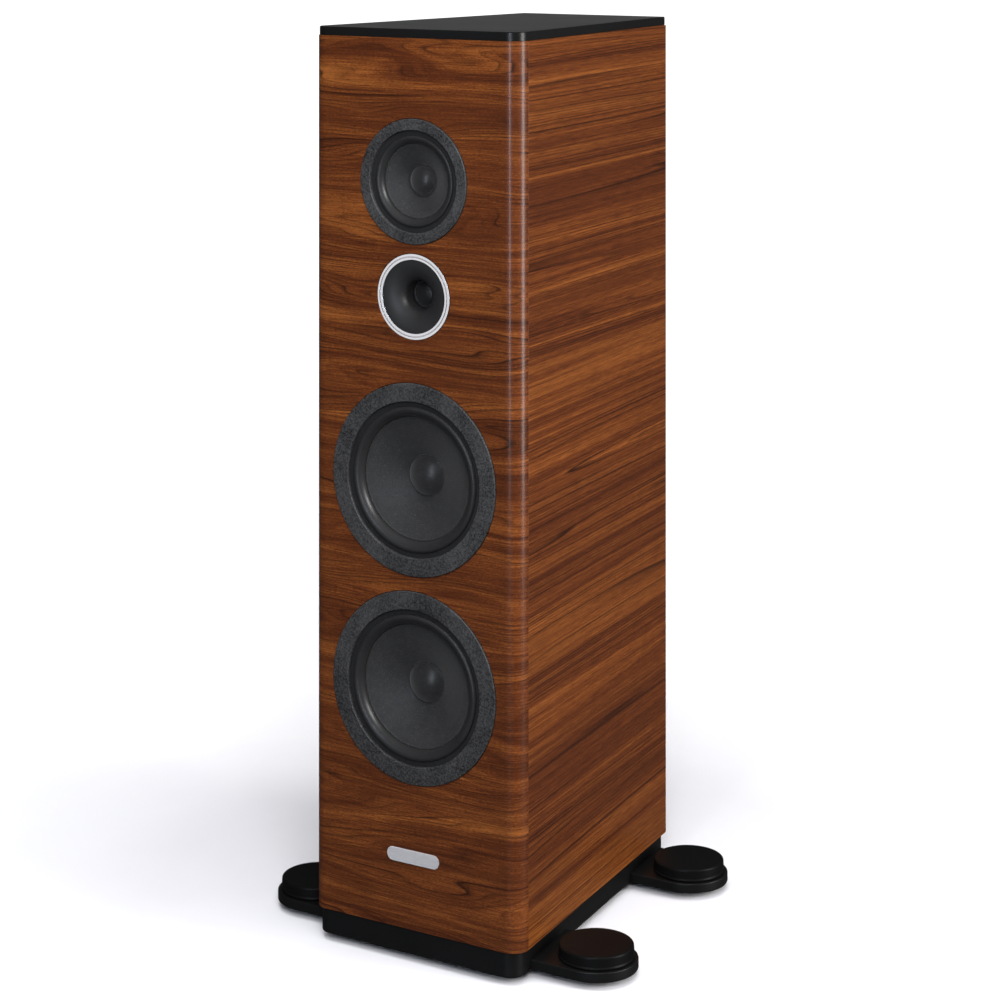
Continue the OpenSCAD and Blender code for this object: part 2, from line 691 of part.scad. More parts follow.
module terminal_plate() color("#202022") difference() {
  facing_rear(0, terminal_z) difference() {
    translate([0, 0, -terminal_t]) rounded_plate(terminal_w, terminal_h, terminal_t, 8);
    terminal_screw_places() {
      translate([0, 0, -terminal_t - 1]) cylinder(r = screw_r + 0.1, h = terminal_t + 2);
      translate([0, 0, -3]) cylinder(r = screw_head_r + 0.1, h = 4);
    }
  }
  at_posts() translate([0, 0, -terminal_t - 1]) cylinder(r = post_r + 0.1, h = terminal_t + 2);
}

// Threaded posts with their insulating collars, inner nuts and plug sockets
module binding_posts() color("gold") at_posts() difference() {
  union() {
    translate([0, 0, -terminal_t - 14]) cylinder(r = post_r, h = terminal_t + 14 + post_end);
    cylinder(r = 9.5, h = collar_h);
    translate([0, 0, -terminal_t - 5]) cylinder(r = 7, h = 5, $fn = 6);
  }
  translate([0, 0, post_end - socket_depth]) cylinder(r = socket_r, h = socket_depth + 1);
}

module clamp_washer() ring(post_r + running_gap, 8.5, collar_h + 0.01, collar_h + washer_t);

// Fluted cap on the post's thread
module post_cap() {
  low = collar_h + washer_t + cap_gap;
  difference() {
    revolve([[post_r + running_gap, low], [9, low], [9.5, low + 0.5], [9.5, low + cap_h - 1.5],
             [8, low + cap_h], [post_r + running_gap, low + cap_h]]);
    ring_of(16, 10.1) translate([0, 0, low - 1]) cylinder(r = 1.2, h = cap_h + 2);
  }
}

module clamp_washer_positive() color("gold") at_post(1) clamp_washer();
module clamp_washer_negative() color("gold") at_post(-1) clamp_washer();
module post_cap_positive() color("firebrick") at_post(1) post_cap();
module post_cap_negative() color("#151515") at_post(-1) post_cap();

// ---------- Crossover and wiring ----------

board_z = plinth_top + end_board_t;
crossover_t = 5;
crossover_depth = [150, 380];
module crossover_board() color("darkolivegreen") in_cabinet()
  translate([-75, crossover_depth[0], board_z])
    cube([150, crossover_depth[1] - crossover_depth[0], crossover_t]);

// Air-core coils, film capacitors and power resistors on the board
module crossover_components() color("chocolate") in_cabinet()
  translate([0, crossover_depth[0], board_z + crossover_t]) {
    for (place = [[-44, 34, 27], [38, 44, 32], [-38, 190, 24]])
      translate([place[0], place[1], 0]) ring(place[2] * 0.45, place[2], 0, 24);
    for (i = [0:2]) translate([-68, 84 + 26 * i, 11.5]) rotate([0, 90, 0]) cylinder(r = 11, h = 52);
    for (i = [0:3]) translate([8, 96 + 16 * i, 0]) cube([48, 10, 10]);
    for (i = [0:1]) translate([4, 172 + 24 * i, 10.5]) rotate([0, 90, 0]) cylinder(r = 10, h = 46);
  }

// Twin leads from the posts to the board and from the board to each driver
cable_r = 2.2;
cable_x = -62;
riser_depth = 300;
module internal_cables() color("crimson") in_cabinet() {
  lead_end = cabinet_d - terminal_t - 15;
  board_top = board_z + crossover_t;
  for (side = [-1, 1])
    wire([[side * post_spacing / 2, lead_end, terminal_z],
          [side * post_spacing / 2, lead_end - 10, terminal_z],
          [side * 20, crossover_depth[1] - 8, board_top + 30],
          [side * 20, crossover_depth[1] - 8, board_top]], cable_r);
  for (z = WOOFER_Z)
    wire([[cable_x, riser_depth + z / 30, board_top + 60], [cable_x, riser_depth + z / 30, z + 60],
          [cable_x - 10, 60, z + 60], [cable_x - 10, 46, z + 52]], cable_r);
  for (z = [tweeter_z, midrange_z])
    wire([[cable_x, riser_depth + 30 + (z - tweeter_z) / 10, board_top + 60],
          [cable_x, riser_depth + 30 + (z - tweeter_z) / 10, z], [cable_x, 90, z],
          [cable_x + 12, 60, z]], cable_r);
}

front_baffle();
left_side_panel();
right_side_panel();
back_panel();
end_boards();
top_cover();
shelf_braces();
midrange_chamber();
damping_pads();
badge();
port_tubes();
plinth();
front_outrigger();
rear_outrigger();
outrigger_bolts();
woofer_trim_rings();
woofer_baskets();
midrange_trim_ring();
midrange_basket();
tweeter_trim_ring();
tweeter_horn();
tweeter_rear_cup();
ferrite_magnets();
front_plates();
pole_yokes();
wood_screws();
terminal_plate();
binding_posts();
crossover_board();
crossover_components();
internal_cables();
upper_woofer_cone();
upper_woofer_dust_cap();
upper_woofer_voice_coil();
upper_woofer_surround();
upper_woofer_spider();
lower_woofer_cone();
lower_woofer_dust_cap();
lower_woofer_voice_coil();
lower_woofer_surround();
lower_woofer_spider();
midrange_cone();
midrange_dust_cap();
midrange_voice_coil();
midrange_surround();
midrange_spider();
tweeter_dome();
tweeter_voice_coil();
handwheel_front_left();
handwheel_front_right();
handwheel_rear_left();
handwheel_rear_right();
foot_front_left();
foot_front_right();
foot_rear_left();
foot_rear_right();
clamp_washer_positive();
clamp_washer_negative();
post_cap_positive();
post_cap_negative();
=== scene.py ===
import json
import math

import bpy
import bmesh
import numpy as np
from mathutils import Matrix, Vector


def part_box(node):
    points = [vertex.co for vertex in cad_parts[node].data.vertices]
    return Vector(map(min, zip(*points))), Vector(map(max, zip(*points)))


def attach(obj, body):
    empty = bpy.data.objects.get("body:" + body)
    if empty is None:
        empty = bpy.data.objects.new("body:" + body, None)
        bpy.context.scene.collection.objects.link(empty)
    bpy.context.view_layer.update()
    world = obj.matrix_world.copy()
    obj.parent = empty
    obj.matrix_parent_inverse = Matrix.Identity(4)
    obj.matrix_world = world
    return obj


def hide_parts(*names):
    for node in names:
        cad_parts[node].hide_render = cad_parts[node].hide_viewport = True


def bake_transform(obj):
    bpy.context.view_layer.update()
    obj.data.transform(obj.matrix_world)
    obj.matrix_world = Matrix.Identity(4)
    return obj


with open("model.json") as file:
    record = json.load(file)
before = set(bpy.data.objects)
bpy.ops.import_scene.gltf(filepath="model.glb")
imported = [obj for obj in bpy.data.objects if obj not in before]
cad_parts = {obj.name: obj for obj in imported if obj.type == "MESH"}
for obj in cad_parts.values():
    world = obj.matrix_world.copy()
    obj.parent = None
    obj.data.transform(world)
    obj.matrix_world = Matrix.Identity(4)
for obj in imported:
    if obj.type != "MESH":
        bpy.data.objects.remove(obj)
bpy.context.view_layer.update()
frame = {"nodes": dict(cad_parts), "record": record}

# Everything below is worked out in millimetres in the row's frame, and scaled by MM when meshes are made.
# The speaker faces -Y. A "height" on a driver is measured outward from the front face.
MM = 0.001
NEAR = 0.1  # how closely a vertex has to lie at an edge to be counted as part of it
SLOT = {part["node"]: part["material_slot"] for part in frame["record"]["subparts"]}
BODY = {node: body for body, nodes in frame["record"]["behaviour"]["bodies"].items() for node in nodes}


# ---------- Measuring the CAD ----------

def corners(node):
    lo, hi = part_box(node)
    return lo / MM, hi / MM


def middle(node):
    lo, hi = corners(node)
    return (lo + hi) / 2


def vertices_of(mesh):
    co = np.empty(len(mesh.vertices) * 3, np.float32)
    mesh.vertices.foreach_get("co", co)
    return co.reshape(-1, 3).astype(float) / MM


def points(node):
    return vertices_of(frame["nodes"][node].data)


def section(node, z, reach=130):
    """Distance from a driver's axis and height of each CAD vertex near that driver."""
    p = points(node)
    r = np.hypot(p[:, 0], p[:, 2] - z)
    near = r < reach
    return r[near], FRONT - p[near, 1]


def front_line(node, z):
    """The front surface of a revolved CAD node as a smooth function of the distance from its axis."""
    r, h = section(node, z)
    steps = sorted(set(np.round(r, 1)))
    tops = [h[np.abs(r - s) < 0.06].max() for s in steps]
    return np.poly1d(np.polyfit(steps, tops, 4)), steps[0], steps[-1]


FRONT = corners("front_baffle")[0].y
REAR = corners("back_panel")[1].y
WOOD_LO, WOOD_HI = corners("front_baffle")[0].z, corners("front_baffle")[1].z
panel = points("right_side_panel")
SEAM = panel[:, 1].min()
seam_half = panel[panel[:, 1] < SEAM + NEAR, 0].max()
rear_half = panel[panel[:, 1] > REAR - NEAR, 0].max()
panel_inner = panel[panel[:, 1] < SEAM + NEAR, 0].min()
SLOPE = (seam_half - rear_half) / (REAR - SEAM)
TAPER = math.atan(SLOPE)


def half_at(y):
    """Half the cabinet's width at depth y."""
    return seam_half - (y - SEAM) * SLOPE


face = points("front_baffle")
FLAT_HALF = face[face[:, 1] < FRONT + 0.01, 0].max()
EDGE_R = (half_at(FRONT) - FLAT_HALF) * math.cos(TAPER) / (1 + math.sin(TAPER))


# ---------- Outlines and meshes ----------

def arc(cx, cy, r, start, end, steps):
    angles = np.radians(np.linspace(start, end, steps + 1))
    return [(cx + r * math.cos(a), cy + r * math.sin(a)) for a in angles]


def rounded(corner_list, closed=True, steps=5):
    """Rounds the corners given as (a, b, radius), and keeps those given as (a, b)."""
    out, count = [], len(corner_list)
    for i, corner in enumerate(corner_list):
        p = Vector(corner[:2])
        end = not closed and i in (0, count - 1)
        if len(corner) < 3 or end or corner[2] <= 0:
            out.append(tuple(p))
            continue
        before, after = Vector(corner_list[i - 1][:2]) - p, Vector(corner_list[(i + 1) % count][:2]) - p
        turn = math.pi - before.angle(after)
        back = min(corner[2] * math.tan(turn / 2), before.length * 0.49, after.length * 0.49)
        a, b = p + before.normalized() * back, p + after.normalized() * back
        for t in np.linspace(0, 1, steps + 1):
            out.append(tuple((1 - t) ** 2 * a + 2 * t * (1 - t) * p + t * t * b))
    return out


def inset(outline, d):
    """A counter-clockwise outline moved inward by d."""
    p = np.array(outline)
    before, after = p - np.roll(p, 1, 0), np.roll(p, -1, 0) - p
    n1 = np.stack([-before[:, 1], before[:, 0]], 1) / np.linalg.norm(before, axis=1)[:, None]
    n2 = np.stack([-after[:, 1], after[:, 0]], 1) / np.linalg.norm(after, axis=1)[:, None]
    move = (n1 + n2) / (1 + (n1 * n2).sum(1))[:, None]
    return [tuple(q) for q in p + move * d]


# Each of these returns the function that places an outline's point (a, b) at height h along its axis
def upward(x=0.0, y=0.0):
    return lambda a, b, h: (x + a, y + b, h)


def outward(z):
    return lambda a, b, h: (a, FRONT - h, z + b)


def backward(z, x=0.0):
    return lambda a, b, h: (x + a, REAR + h, z + b)


class Shape:
    """Vertices and faces of one or more solids, with a 3-number value a vertex for the shaders."""

    def __init__(self):
        self.verts, self.faces, self.values = [], [], []

    def add(self, verts, faces, values=None):
        start = len(self.verts)
        self.verts += verts
        self.faces += [[start + i for i in f] for f in faces]
        self.values += values or [(0.0, 0.0, 0.0)] * len(verts)
        return self

    def loft(self, rings, place, closed=False):
        """Joins rings (outline, height) of equal count. A closed loft has no ends; an open one is capped."""
        count = len(rings[0][0])
        verts = [place(a, b, h) for outline, h in rings for a, b in outline]
        faces = []
        spans = len(rings) if closed else len(rings) - 1
        for k in range(spans):
            low, high = k * count, (k + 1) % len(rings) * count
            for i in range(count):
                j = (i + 1) % count
                faces.append([low + i, low + j, high + j, high + i])
        if not closed:
            faces.append(list(range(count))[::-1])
            faces.append([(len(rings) - 1) * count + i for i in range(count)])
        return self.add(verts, faces)

    def lathe(self, profile, place, segments=128):
        """Revolves (radius, height) points. A profile that never touches the axis is closed into a ring."""
        open_ended = any(r < 1e-6 for r, _ in profile)
        run = np.concatenate([[0], np.cumsum(np.linalg.norm(np.diff(np.array(profile), axis=0), axis=1))])
        turns = [(math.cos(a), math.sin(a)) for a in np.arange(segments) * 2 * math.pi / segments]
        verts, values, rows = [], [], []
        for (r, h), s in zip(profile, run):
            if r < 1e-6:
                rows.append([len(verts)] * segments)
                verts.append(place(0, 0, h))
                values.append((0.0, 0.0, float(s)))
                continue
            rows.append(list(range(len(verts), len(verts) + segments)))
            verts += [place(r * c, r * d, h) for c, d in turns]
            values += [(c, d, float(s)) for c, d in turns]
        faces = []
        pairs = list(zip(rows, rows[1:])) + ([] if open_ended else [(rows[-1], rows[0])])
        for low, high in pairs:
            for i in range(segments):
                j = (i + 1) % segments
                face_points = list(dict.fromkeys([low[i], low[j], high[j], high[i]]))
                if len(face_points) > 2:
                    faces.append(face_points)
        return self.add(verts, faces, values)

    def build(self, name, material=None, sharp=32):
        mesh = bpy.data.meshes.new(name)
        mesh.from_pydata([Vector(v) * MM for v in self.verts], [], self.faces)
        spin = mesh.attributes.new("spin", "FLOAT_VECTOR", "POINT")
        spin.data.foreach_set("vector", np.array(self.values, np.float32).ravel())
        obj = bpy.data.objects.new(name, mesh)
        bpy.context.scene.collection.objects.link(obj)
        dress(obj, material, sharp)
        return obj


def dress(obj, material, sharp=32):
    """Consistent normals, smooth shading that stays sharp at real edges, and the material."""
    bm = bmesh.new()
    bm.from_mesh(obj.data)
    bmesh.ops.recalc_face_normals(bm, faces=bm.faces)
    bm.to_mesh(obj.data)
    bm.free()
    obj.data.shade_smooth()
    obj.data.set_sharp_from_angle(angle=math.radians(sharp))
    if material:
        obj.data.materials.clear()
        obj.data.materials.append(MATERIAL[material])
    if not obj.modifiers.get("Weighted Normal"):
        modifier = obj.modifiers.new("Weighted Normal", "WEIGHTED_NORMAL")
        modifier.keep_sharp = True


def carve(obj, cutter_shapes, material):
    """Cuts the shapes out of obj and bakes the result into its mesh."""
    obj.modifiers.clear()
    cutters = [shape.build("cutter") for shape in cutter_shapes]
    for cutter in cutters:
        cutter.modifiers.clear()
        modifier = obj.modifiers.new("cut", "BOOLEAN")
        modifier.operation, modifier.solver, modifier.object = "DIFFERENCE", "EXACT", cutter
    bpy.context.view_layer.update()
    graph = bpy.context.evaluated_depsgraph_get()
    mesh = bpy.data.meshes.new_from_object(obj.evaluated_get(graph))
    obj.modifiers.clear()
    old, obj.data = obj.data, mesh
    bpy.data.meshes.remove(old)
    for cutter in cutters:
        bpy.data.objects.remove(cutter)
    dress(obj, material)


def stands_for(obj, *nodes):
    """obj takes the place of these CAD nodes, on the first one's body."""
    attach(obj, BODY[nodes[0]])
    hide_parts(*nodes)
    return obj


def slab(outline, low, high, bevel, low_bevel=None):
    """A plate with rounded top and bottom edges."""
    under = bevel if low_bevel is None else low_bevel
    quarter = [t * math.pi / 2 for t in np.linspace(0, 1, 4)]
    rings = [(inset(outline, under * (1 - math.sin(a))), low + under * (1 - math.cos(a))) for a in quarter]
    rings += [(inset(outline, bevel * (1 - math.cos(a))), high - bevel * (1 - math.sin(a))) for a in quarter]
    return Shape().loft(rings, upward())


# ---------- Materials ----------

def linear(r, g, b):
    """Linear colour of an sRGB colour given in 0 to 255."""
    channels = [c / 255 for c in (r, g, b)]
    return (*(c / 12.92 if c <= 0.04045 else ((c + 0.055) / 1.055) ** 2.4 for c in channels), 1)


def grey(level):
    """A grey with a trace of blue."""
    return linear(level, level, level * 1.02)


class Shader:
    """Builds one procedural material from short calls. Vectors are in millimetres."""

    def __init__(self, name):
        self.material = bpy.data.materials.new(name)
        self.material.use_nodes = True
        self.tree = self.material.node_tree
        self.tree.nodes.clear()
        output = self.tree.nodes.new("ShaderNodeOutputMaterial")
        self.surface = self.tree.nodes.new("ShaderNodeBsdfPrincipled")
        self.tree.links.new(self.surface.outputs[0], output.inputs[0])

    def node(self, kind, inputs, output=0, **settings):
        node = self.tree.nodes.new(kind)
        for key, value in settings.items():
            setattr(node, key, value)
        for key, value in inputs.items():
            self.feed(node.inputs[key], value)
        return node.outputs[output]

    def feed(self, socket, value):
        if isinstance(value, bpy.types.NodeSocket):
            self.tree.links.new(value, socket)
        else:
            socket.default_value = value

    def set(self, **values):
        for key, value in values.items():
            self.feed(self.surface.inputs[key.replace("_", " ")], value)

    def math(self, operation, a, b=0.0, clamp=False):
        return self.node("ShaderNodeMath", {0: a, 1: b}, operation=operation, use_clamp=clamp)

    def plus(self, a, b):
        return self.math("ADD", a, b)

    def times(self, a, b):
        return self.math("MULTIPLY", a, b)

    def over(self, a, b):
        return self.math("DIVIDE", a, b)

    def attribute(self, name):
        return self.node("ShaderNodeAttribute", {}, output=1, attribute_name=name)

    def place(self):
        """Position in the row's frame, in millimetres."""
        return self.scaled(self.node("ShaderNodeTexCoord", {}, output=3), (1 / MM, 1 / MM, 1 / MM))

    def scaled(self, vector, by):
        return self.node("ShaderNodeVectorMath", {0: vector, 1: by}, operation="MULTIPLY")

    def split(self, vector):
        node = self.tree.nodes.new("ShaderNodeSeparateXYZ")
        self.tree.links.new(vector, node.inputs[0])
        return node.outputs[0], node.outputs[1], node.outputs[2]

    def join(self, x, y, z):
        return self.node("ShaderNodeCombineXYZ", {0: x, 1: y, 2: z})

    def noise(self, vector, scale=1.0, detail=2.0, rough=0.5, twist=0.0):
        return self.node("ShaderNodeTexNoise", {"Vector": vector, "Scale": scale, "Detail": detail,
                                                "Roughness": rough, "Distortion": twist})

    def ramp(self, factor, stops):
        """Colour or grey value along a factor from 0 to 1, from (position, colour or number) stops."""
        node = self.tree.nodes.new("ShaderNodeValToRGB")
        while len(node.color_ramp.elements) < len(stops):
            node.color_ramp.elements.new(0.5)
        for element, (at, value) in zip(node.color_ramp.elements, stops):
            element.position = at
            element.color = value if isinstance(value, tuple) else (value, value, value, 1)
        self.tree.links.new(factor, node.inputs[0])
        return node.outputs[0]

    def mix(self, factor, a, b):
        node = self.tree.nodes.new("ShaderNodeMix")
        node.data_type = "RGBA"
        for index, value in ((0, factor), (6, a), (7, b)):
            self.feed(node.inputs[index], value)
        return node.outputs[2]

    def bump(self, height, strength, distance=0.2):
        return self.node("ShaderNodeBump", {"Height": height, "Strength": strength, "Distance": distance * MM})


def finish_of(name, dark, light, rough, spread=0.06, metallic=0.0, patch=40, grain=1.2, bump=0.15,
              depth=0.05, specular=0.5, stretch=(1, 1, 1)):
    """A painted, moulded, cast or plated surface: slow colour patches, varied roughness and a fine grain.

    Patch, grain and depth are in millimetres, and spread is how much the roughness varies."""
    s = Shader(name)
    place = s.scaled(s.place(), stretch)
    slow = s.noise(place, 1 / patch, 3)
    fine = s.noise(place, 1 / grain, 3, 0.6)
    blend = s.plus(s.times(slow, 0.3), s.times(fine, 0.7))
    s.set(Base_Color=s.ramp(blend, [(0.35, dark), (0.65, light)]),
          Roughness=s.math("ADD", rough - spread / 2, s.times(slow, spread), True),
          Metallic=metallic, Specular_IOR_Level=specular, Normal=s.bump(fine, bump, depth))
    return s.material


def veneer_of(name):
    """Lacquered veneer whose grain runs level.

    It reads the attribute "grain": (distance round the cabinet, sheet, height)."""
    s = Shader(name)
    u, sheet, v = s.split(s.attribute("grain"))
    lift = s.times(sheet, 311.0)  # parts the sheets so far that their patterns differ

    def stretched(du, dv, seed, detail=2.0, rough=0.5):
        """Noise whose patches are about du long and dv high."""
        return s.noise(s.join(s.over(u, du), s.plus(lift, seed), s.over(v, dv)),
                       1.0, detail, rough)

    def centred(value, by):
        return s.times(s.math("SUBTRACT", value, 0.5), by)

    # the height, warped so that its level lines are the lines of the grain
    field = s.plus(v, centred(stretched(420, 60, 3.1, 1.5), 125))
    field = s.plus(field, centred(stretched(140, 20, 7.7, 1.0), 9))
    field = s.plus(field, s.times(u, 0.012))
    # growth rings: darker and darker late wood that ends abruptly
    ring_step = 4.8
    phase = s.plus(s.over(field, ring_step),
                   centred(s.noise(s.join(s.over(field, 46.0), lift, 5.0), 1.0, 2.0), 9.0))
    tooth = s.math("FRACT", phase)
    each = s.node("ShaderNodeTexWhiteNoise", {"W": s.math("FLOOR", phase)}, noise_dimensions="1D")
    late = s.ramp(tooth, [(0.0, 0.0), (0.45, 0.05), (0.72, 0.45), (0.88, 1.0), (1.0, 0.0)])
    strength = s.times(s.ramp(each, [(0.0, 0.25), (0.4, 0.55), (0.7, 1.0), (1.0, 1.0)]),
                       s.ramp(stretched(150, 26, 1.3, 2.0), [(0.40, 0.22), (0.54, 1.0)]))
    lines = s.math("MULTIPLY", late, strength, True)
    # slow bands of heart and sap wood that follow the rings
    bands = s.noise(s.join(s.over(u, 900.0), lift, s.over(field, 21.0)), 1.0, 2.5, 0.55)
    streaks = stretched(120, 1.9, 11.0, 3.0, 0.6)
    fibres = stretched(30, 0.8, 17.0, 2.0, 0.6)
    speckle = stretched(4.0, 1.1, 31.0, 2.0, 0.7)
    pores = s.ramp(stretched(9, 0.8, 23.0, 1.0), [(0.60, 0.0), (0.69, 1.0)])
    cloud = stretched(120, 70, 29.0, 2.0)

    tone = s.plus(s.plus(s.times(bands, 0.40), s.times(streaks, 0.22)),
                  s.plus(s.times(fibres, 0.18), s.times(speckle, 0.20)))
    colour = s.ramp(tone, [(0.40, linear(58, 25, 9)), (0.475, linear(89, 43, 17)),
                           (0.53, linear(113, 60, 24)), (0.61, linear(152, 89, 39))])
    colour = s.mix(s.times(lines, 0.95), colour, linear(26, 10, 4))
    colour = s.mix(s.times(pores, 0.55), colour, linear(34, 13, 5))
    colour = s.mix(s.ramp(cloud, [(0.35, 0.35), (0.65, 0.0)]), colour, linear(60, 26, 11))
    relief = s.plus(s.times(fibres, 0.5), s.times(pores, -0.6))
    s.set(Base_Color=colour, Roughness=s.plus(0.34, s.times(streaks, 0.14)),
          Specular_IOR_Level=0.28, Coat_Weight=0.40, Coat_Roughness=0.20,
          Normal=s.bump(relief, 0.12, 0.05))
    return s.material


def turned_of(name, dark, light, rough, step=0.12):
    """Turned metal: fine lines round the axis."""
    s = Shader(name)
    c, d, run = s.split(s.attribute("spin"))
    lines = s.noise(s.join(s.times(c, 0.9), s.times(d, 0.9), s.over(run, step)),
                    1.0, 2)
    s.set(Base_Color=s.ramp(lines, [(0.3, dark), (0.7, light)]), Metallic=1.0,
          Roughness=s.plus(rough, s.times(lines, 0.12)), Normal=s.bump(lines, 0.10, 0.02))
    return s.material


def pulp_of(name, dark, light, rough):
    """Pressed paper: cloudy pulp with short light fibres lying in all directions, and faint rings."""
    s = Shader(name)
    place = s.place()
    c, d, run = s.split(s.attribute("spin"))
    rings = s.noise(s.join(s.times(c, 0.4), s.times(d, 0.4), s.over(run, 1.6)),
                    1.0, 2)
    cloud = s.noise(place, 0.12, 4, 0.65)
    hairs = s.ramp(s.noise(s.scaled(place, (0.5, 1.0, 1.3)), 0.9, 2, 0.5, 2.5), [(0.62, 0.0), (0.70, 1.0)])
    colour = s.mix(s.plus(s.times(cloud, 0.7), s.times(rings, 0.3)), dark, light)
    colour = s.mix(s.times(hairs, 0.35), colour, linear(120, 120, 122))
    s.set(Base_Color=colour, Roughness=rough, Specular_IOR_Level=0.4, Normal=s.bump(cloud, 0.25, 0.12),
          Sheen_Weight=0.15, Sheen_Roughness=0.5)
    return s.material


def cloth_of(name, dark, light, rough, thread=0.9, sheen=0.3):
    """Woven or felted cloth: two crossed sets of threads and loose fibres."""
    s = Shader(name)
    place = s.place()
    x, y, z = s.split(place)
    turns = 2 * math.pi / thread
    warp = s.math("SINE", s.times(s.plus(x, z), turns))
    weft = s.math("SINE", s.times(s.math("SUBTRACT", s.plus(x, y), z), turns))
    weave = s.plus(s.times(s.times(warp, weft), 0.25), 0.5)
    loose = s.noise(place, 0.8, 4, 0.7)
    shade = s.plus(s.times(weave, 0.5), s.times(loose, 0.5))
    s.set(Base_Color=s.mix(shade, dark, light), Roughness=rough, Sheen_Weight=sheen, Sheen_Roughness=0.6,
          Normal=s.bump(weave, 0.3, 0.1))
    return s.material


def parts_of(name):
    """Crossover parts: each one takes its own colour, with fine winding lines."""
    s = Shader(name)
    place = s.place()
    lines = s.noise(s.scaled(place, (0.02, 0.02, 2.2)), 1.0, 2)
    own = s.node("ShaderNodeNewGeometry", {}, output=8)
    node = s.tree.nodes.new("ShaderNodeValToRGB")
    node.color_ramp.interpolation = "CONSTANT"
    copper, film, ceramic = linear(150, 82, 44), linear(205, 196, 172), linear(64, 66, 70)
    for at, colour in ((0.0, copper), (0.38, film), (0.7, ceramic)):
        element = node.color_ramp.elements[0] if at == 0.0 else node.color_ramp.elements.new(at)
        element.color = colour
    s.tree.links.new(own, node.inputs[0])
    s.set(Base_Color=s.mix(s.ramp(lines, [(0.4, 0.35), (0.6, 0.0)]), node.outputs[0], linear(40, 26, 18)),
          Roughness=s.plus(0.35, s.times(lines, 0.2)), Normal=s.bump(lines, 0.2, 0.1))
    return s.material


# Each slot's recipe, and the values that it takes after the name
FINISHES = {
    "fibreboard": (finish_of, linear(150, 118, 84), linear(186, 152, 112), 0.8, dict(grain=1.0, bump=0.3)),
    "black_lacquer": (finish_of, grey(14), grey(20), 0.33, dict(patch=60, grain=0.8, bump=0.05, depth=0.02)),
    "black_powder_coat": (finish_of, grey(10), grey(16), 0.42, dict(grain=0.9, bump=0.12, depth=0.04)),
    "black_anodised": (finish_of, grey(9), grey(14), 0.42,
                       dict(grain=0.7, bump=0.06, depth=0.02, specular=0.15)),
    "foot_rubber": (finish_of, grey(12), grey(22), 0.75, dict(grain=1.5, bump=0.25, depth=0.1)),
    "zinc_steel": (finish_of, grey(150), grey(190), 0.32, dict(metallic=1.0, grain=2.0, patch=12)),
    "textured_black": (finish_of, grey(16), grey(66), 0.50,
                       dict(spread=0.02, grain=2.0, bump=0.9, depth=0.3)),
    "cast_black": (finish_of, grey(20), grey(34), 0.55, dict(grain=1.6, bump=0.35, depth=0.12)),
    "polished_aluminium": (turned_of, grey(196), grey(228), 0.20, {}),
    "brushed_aluminium": (finish_of, grey(196), grey(224), 0.34,
                          dict(metallic=0.5, patch=30, grain=0.35, bump=0.25, depth=0.02,
                               stretch=(0.03, 1, 1))),
    "satin_black_plastic": (finish_of, grey(28), grey(38), 0.48, dict(grain=0.8, bump=0.05, depth=0.02)),
    "ferrite": (finish_of, grey(38), grey(58), 0.7, dict(grain=1.4, bump=0.4, depth=0.1)),
    "plated_steel": (finish_of, grey(150), grey(196), 0.30, dict(metallic=1.0, patch=15, grain=1.5)),
    "gold_brass": (finish_of, linear(196, 150, 66), linear(232, 190, 104), 0.22,
                   dict(metallic=1.0, patch=8, grain=0.8, bump=0.08)),
    "red_plastic": (finish_of, linear(128, 8, 10), linear(158, 16, 16), 0.22,
                    dict(patch=6, grain=0.8, bump=0.04)),
    "black_plastic": (finish_of, grey(14), grey(24), 0.24, dict(patch=6, grain=0.8, bump=0.04)),
    "cable_rubber": (finish_of, linear(110, 16, 16), linear(142, 28, 24), 0.55, dict(patch=10, grain=1.2)),
    "felt": (cloth_of, grey(58), grey(104), 0.95, dict(thread=2.4, sheen=0.5)),
    "paper_pulp": (pulp_of, grey(16), grey(46), 0.55, {}),
    "dust_cap_fabric": (pulp_of, grey(18), grey(40), 0.36, {}),
    "copper_coil": (turned_of, linear(168, 92, 52), linear(214, 132, 84), 0.25, dict(step=0.35)),
    "surround_rubber": (finish_of, grey(29), grey(37), 0.40,
                        dict(spread=0.04, patch=25, grain=1.4, bump=0.08)),
    "spider_cloth": (cloth_of, linear(150, 116, 56), linear(196, 162, 92), 0.85, {}),
    "dome_silk": (cloth_of, grey(12), grey(22), 0.45, dict(thread=0.45, sheen=0.05)),
}
MATERIAL = {"walnut_veneer": veneer_of("walnut_veneer"), "crossover_parts": parts_of("crossover_parts")}
for slot, (recipe, dark, light, rough, extra) in FINISHES.items():
    MATERIAL[slot] = recipe(slot, dark, light, rough, **extra)


# ---------- Cabinet ----------

BROKEN_EDGE = 0.35  # bevel of the veneered panels' long edges
CUT_DEPTH = 40  # cutters that go right through a panel reach this deep
CUT_OVER = 3  # and stand this far out of its surface
FIT_GAP = 0.4  # round a fitting that is let into wood


def plan(side_in, front_in, rear_y, r, rear_r):
    """The cabinet's outline from above, counter-clockwise: rounded front edges and square rear corners."""
    cy = front_in + r
    cx = half_at(FRONT) - side_in - (r + math.sin(TAPER) * cy) / math.cos(TAPER)
    rear_x = half_at(rear_y) - side_in
    front = arc(cx, FRONT + cy, r, -90, math.degrees(TAPER), 26)
    end = rounded([front[-1], (rear_x, rear_y, rear_r), (-rear_x, rear_y)], closed=False)[1:-1]
    half = front + end
    return half + [(-x, y) for x, y in reversed(half)]


FRONT_SHEET, SIDE_SHEET, BACK_SHEET = 0, 1, 2
BACK_START = 700  # distance round the cabinet at the middle of the back


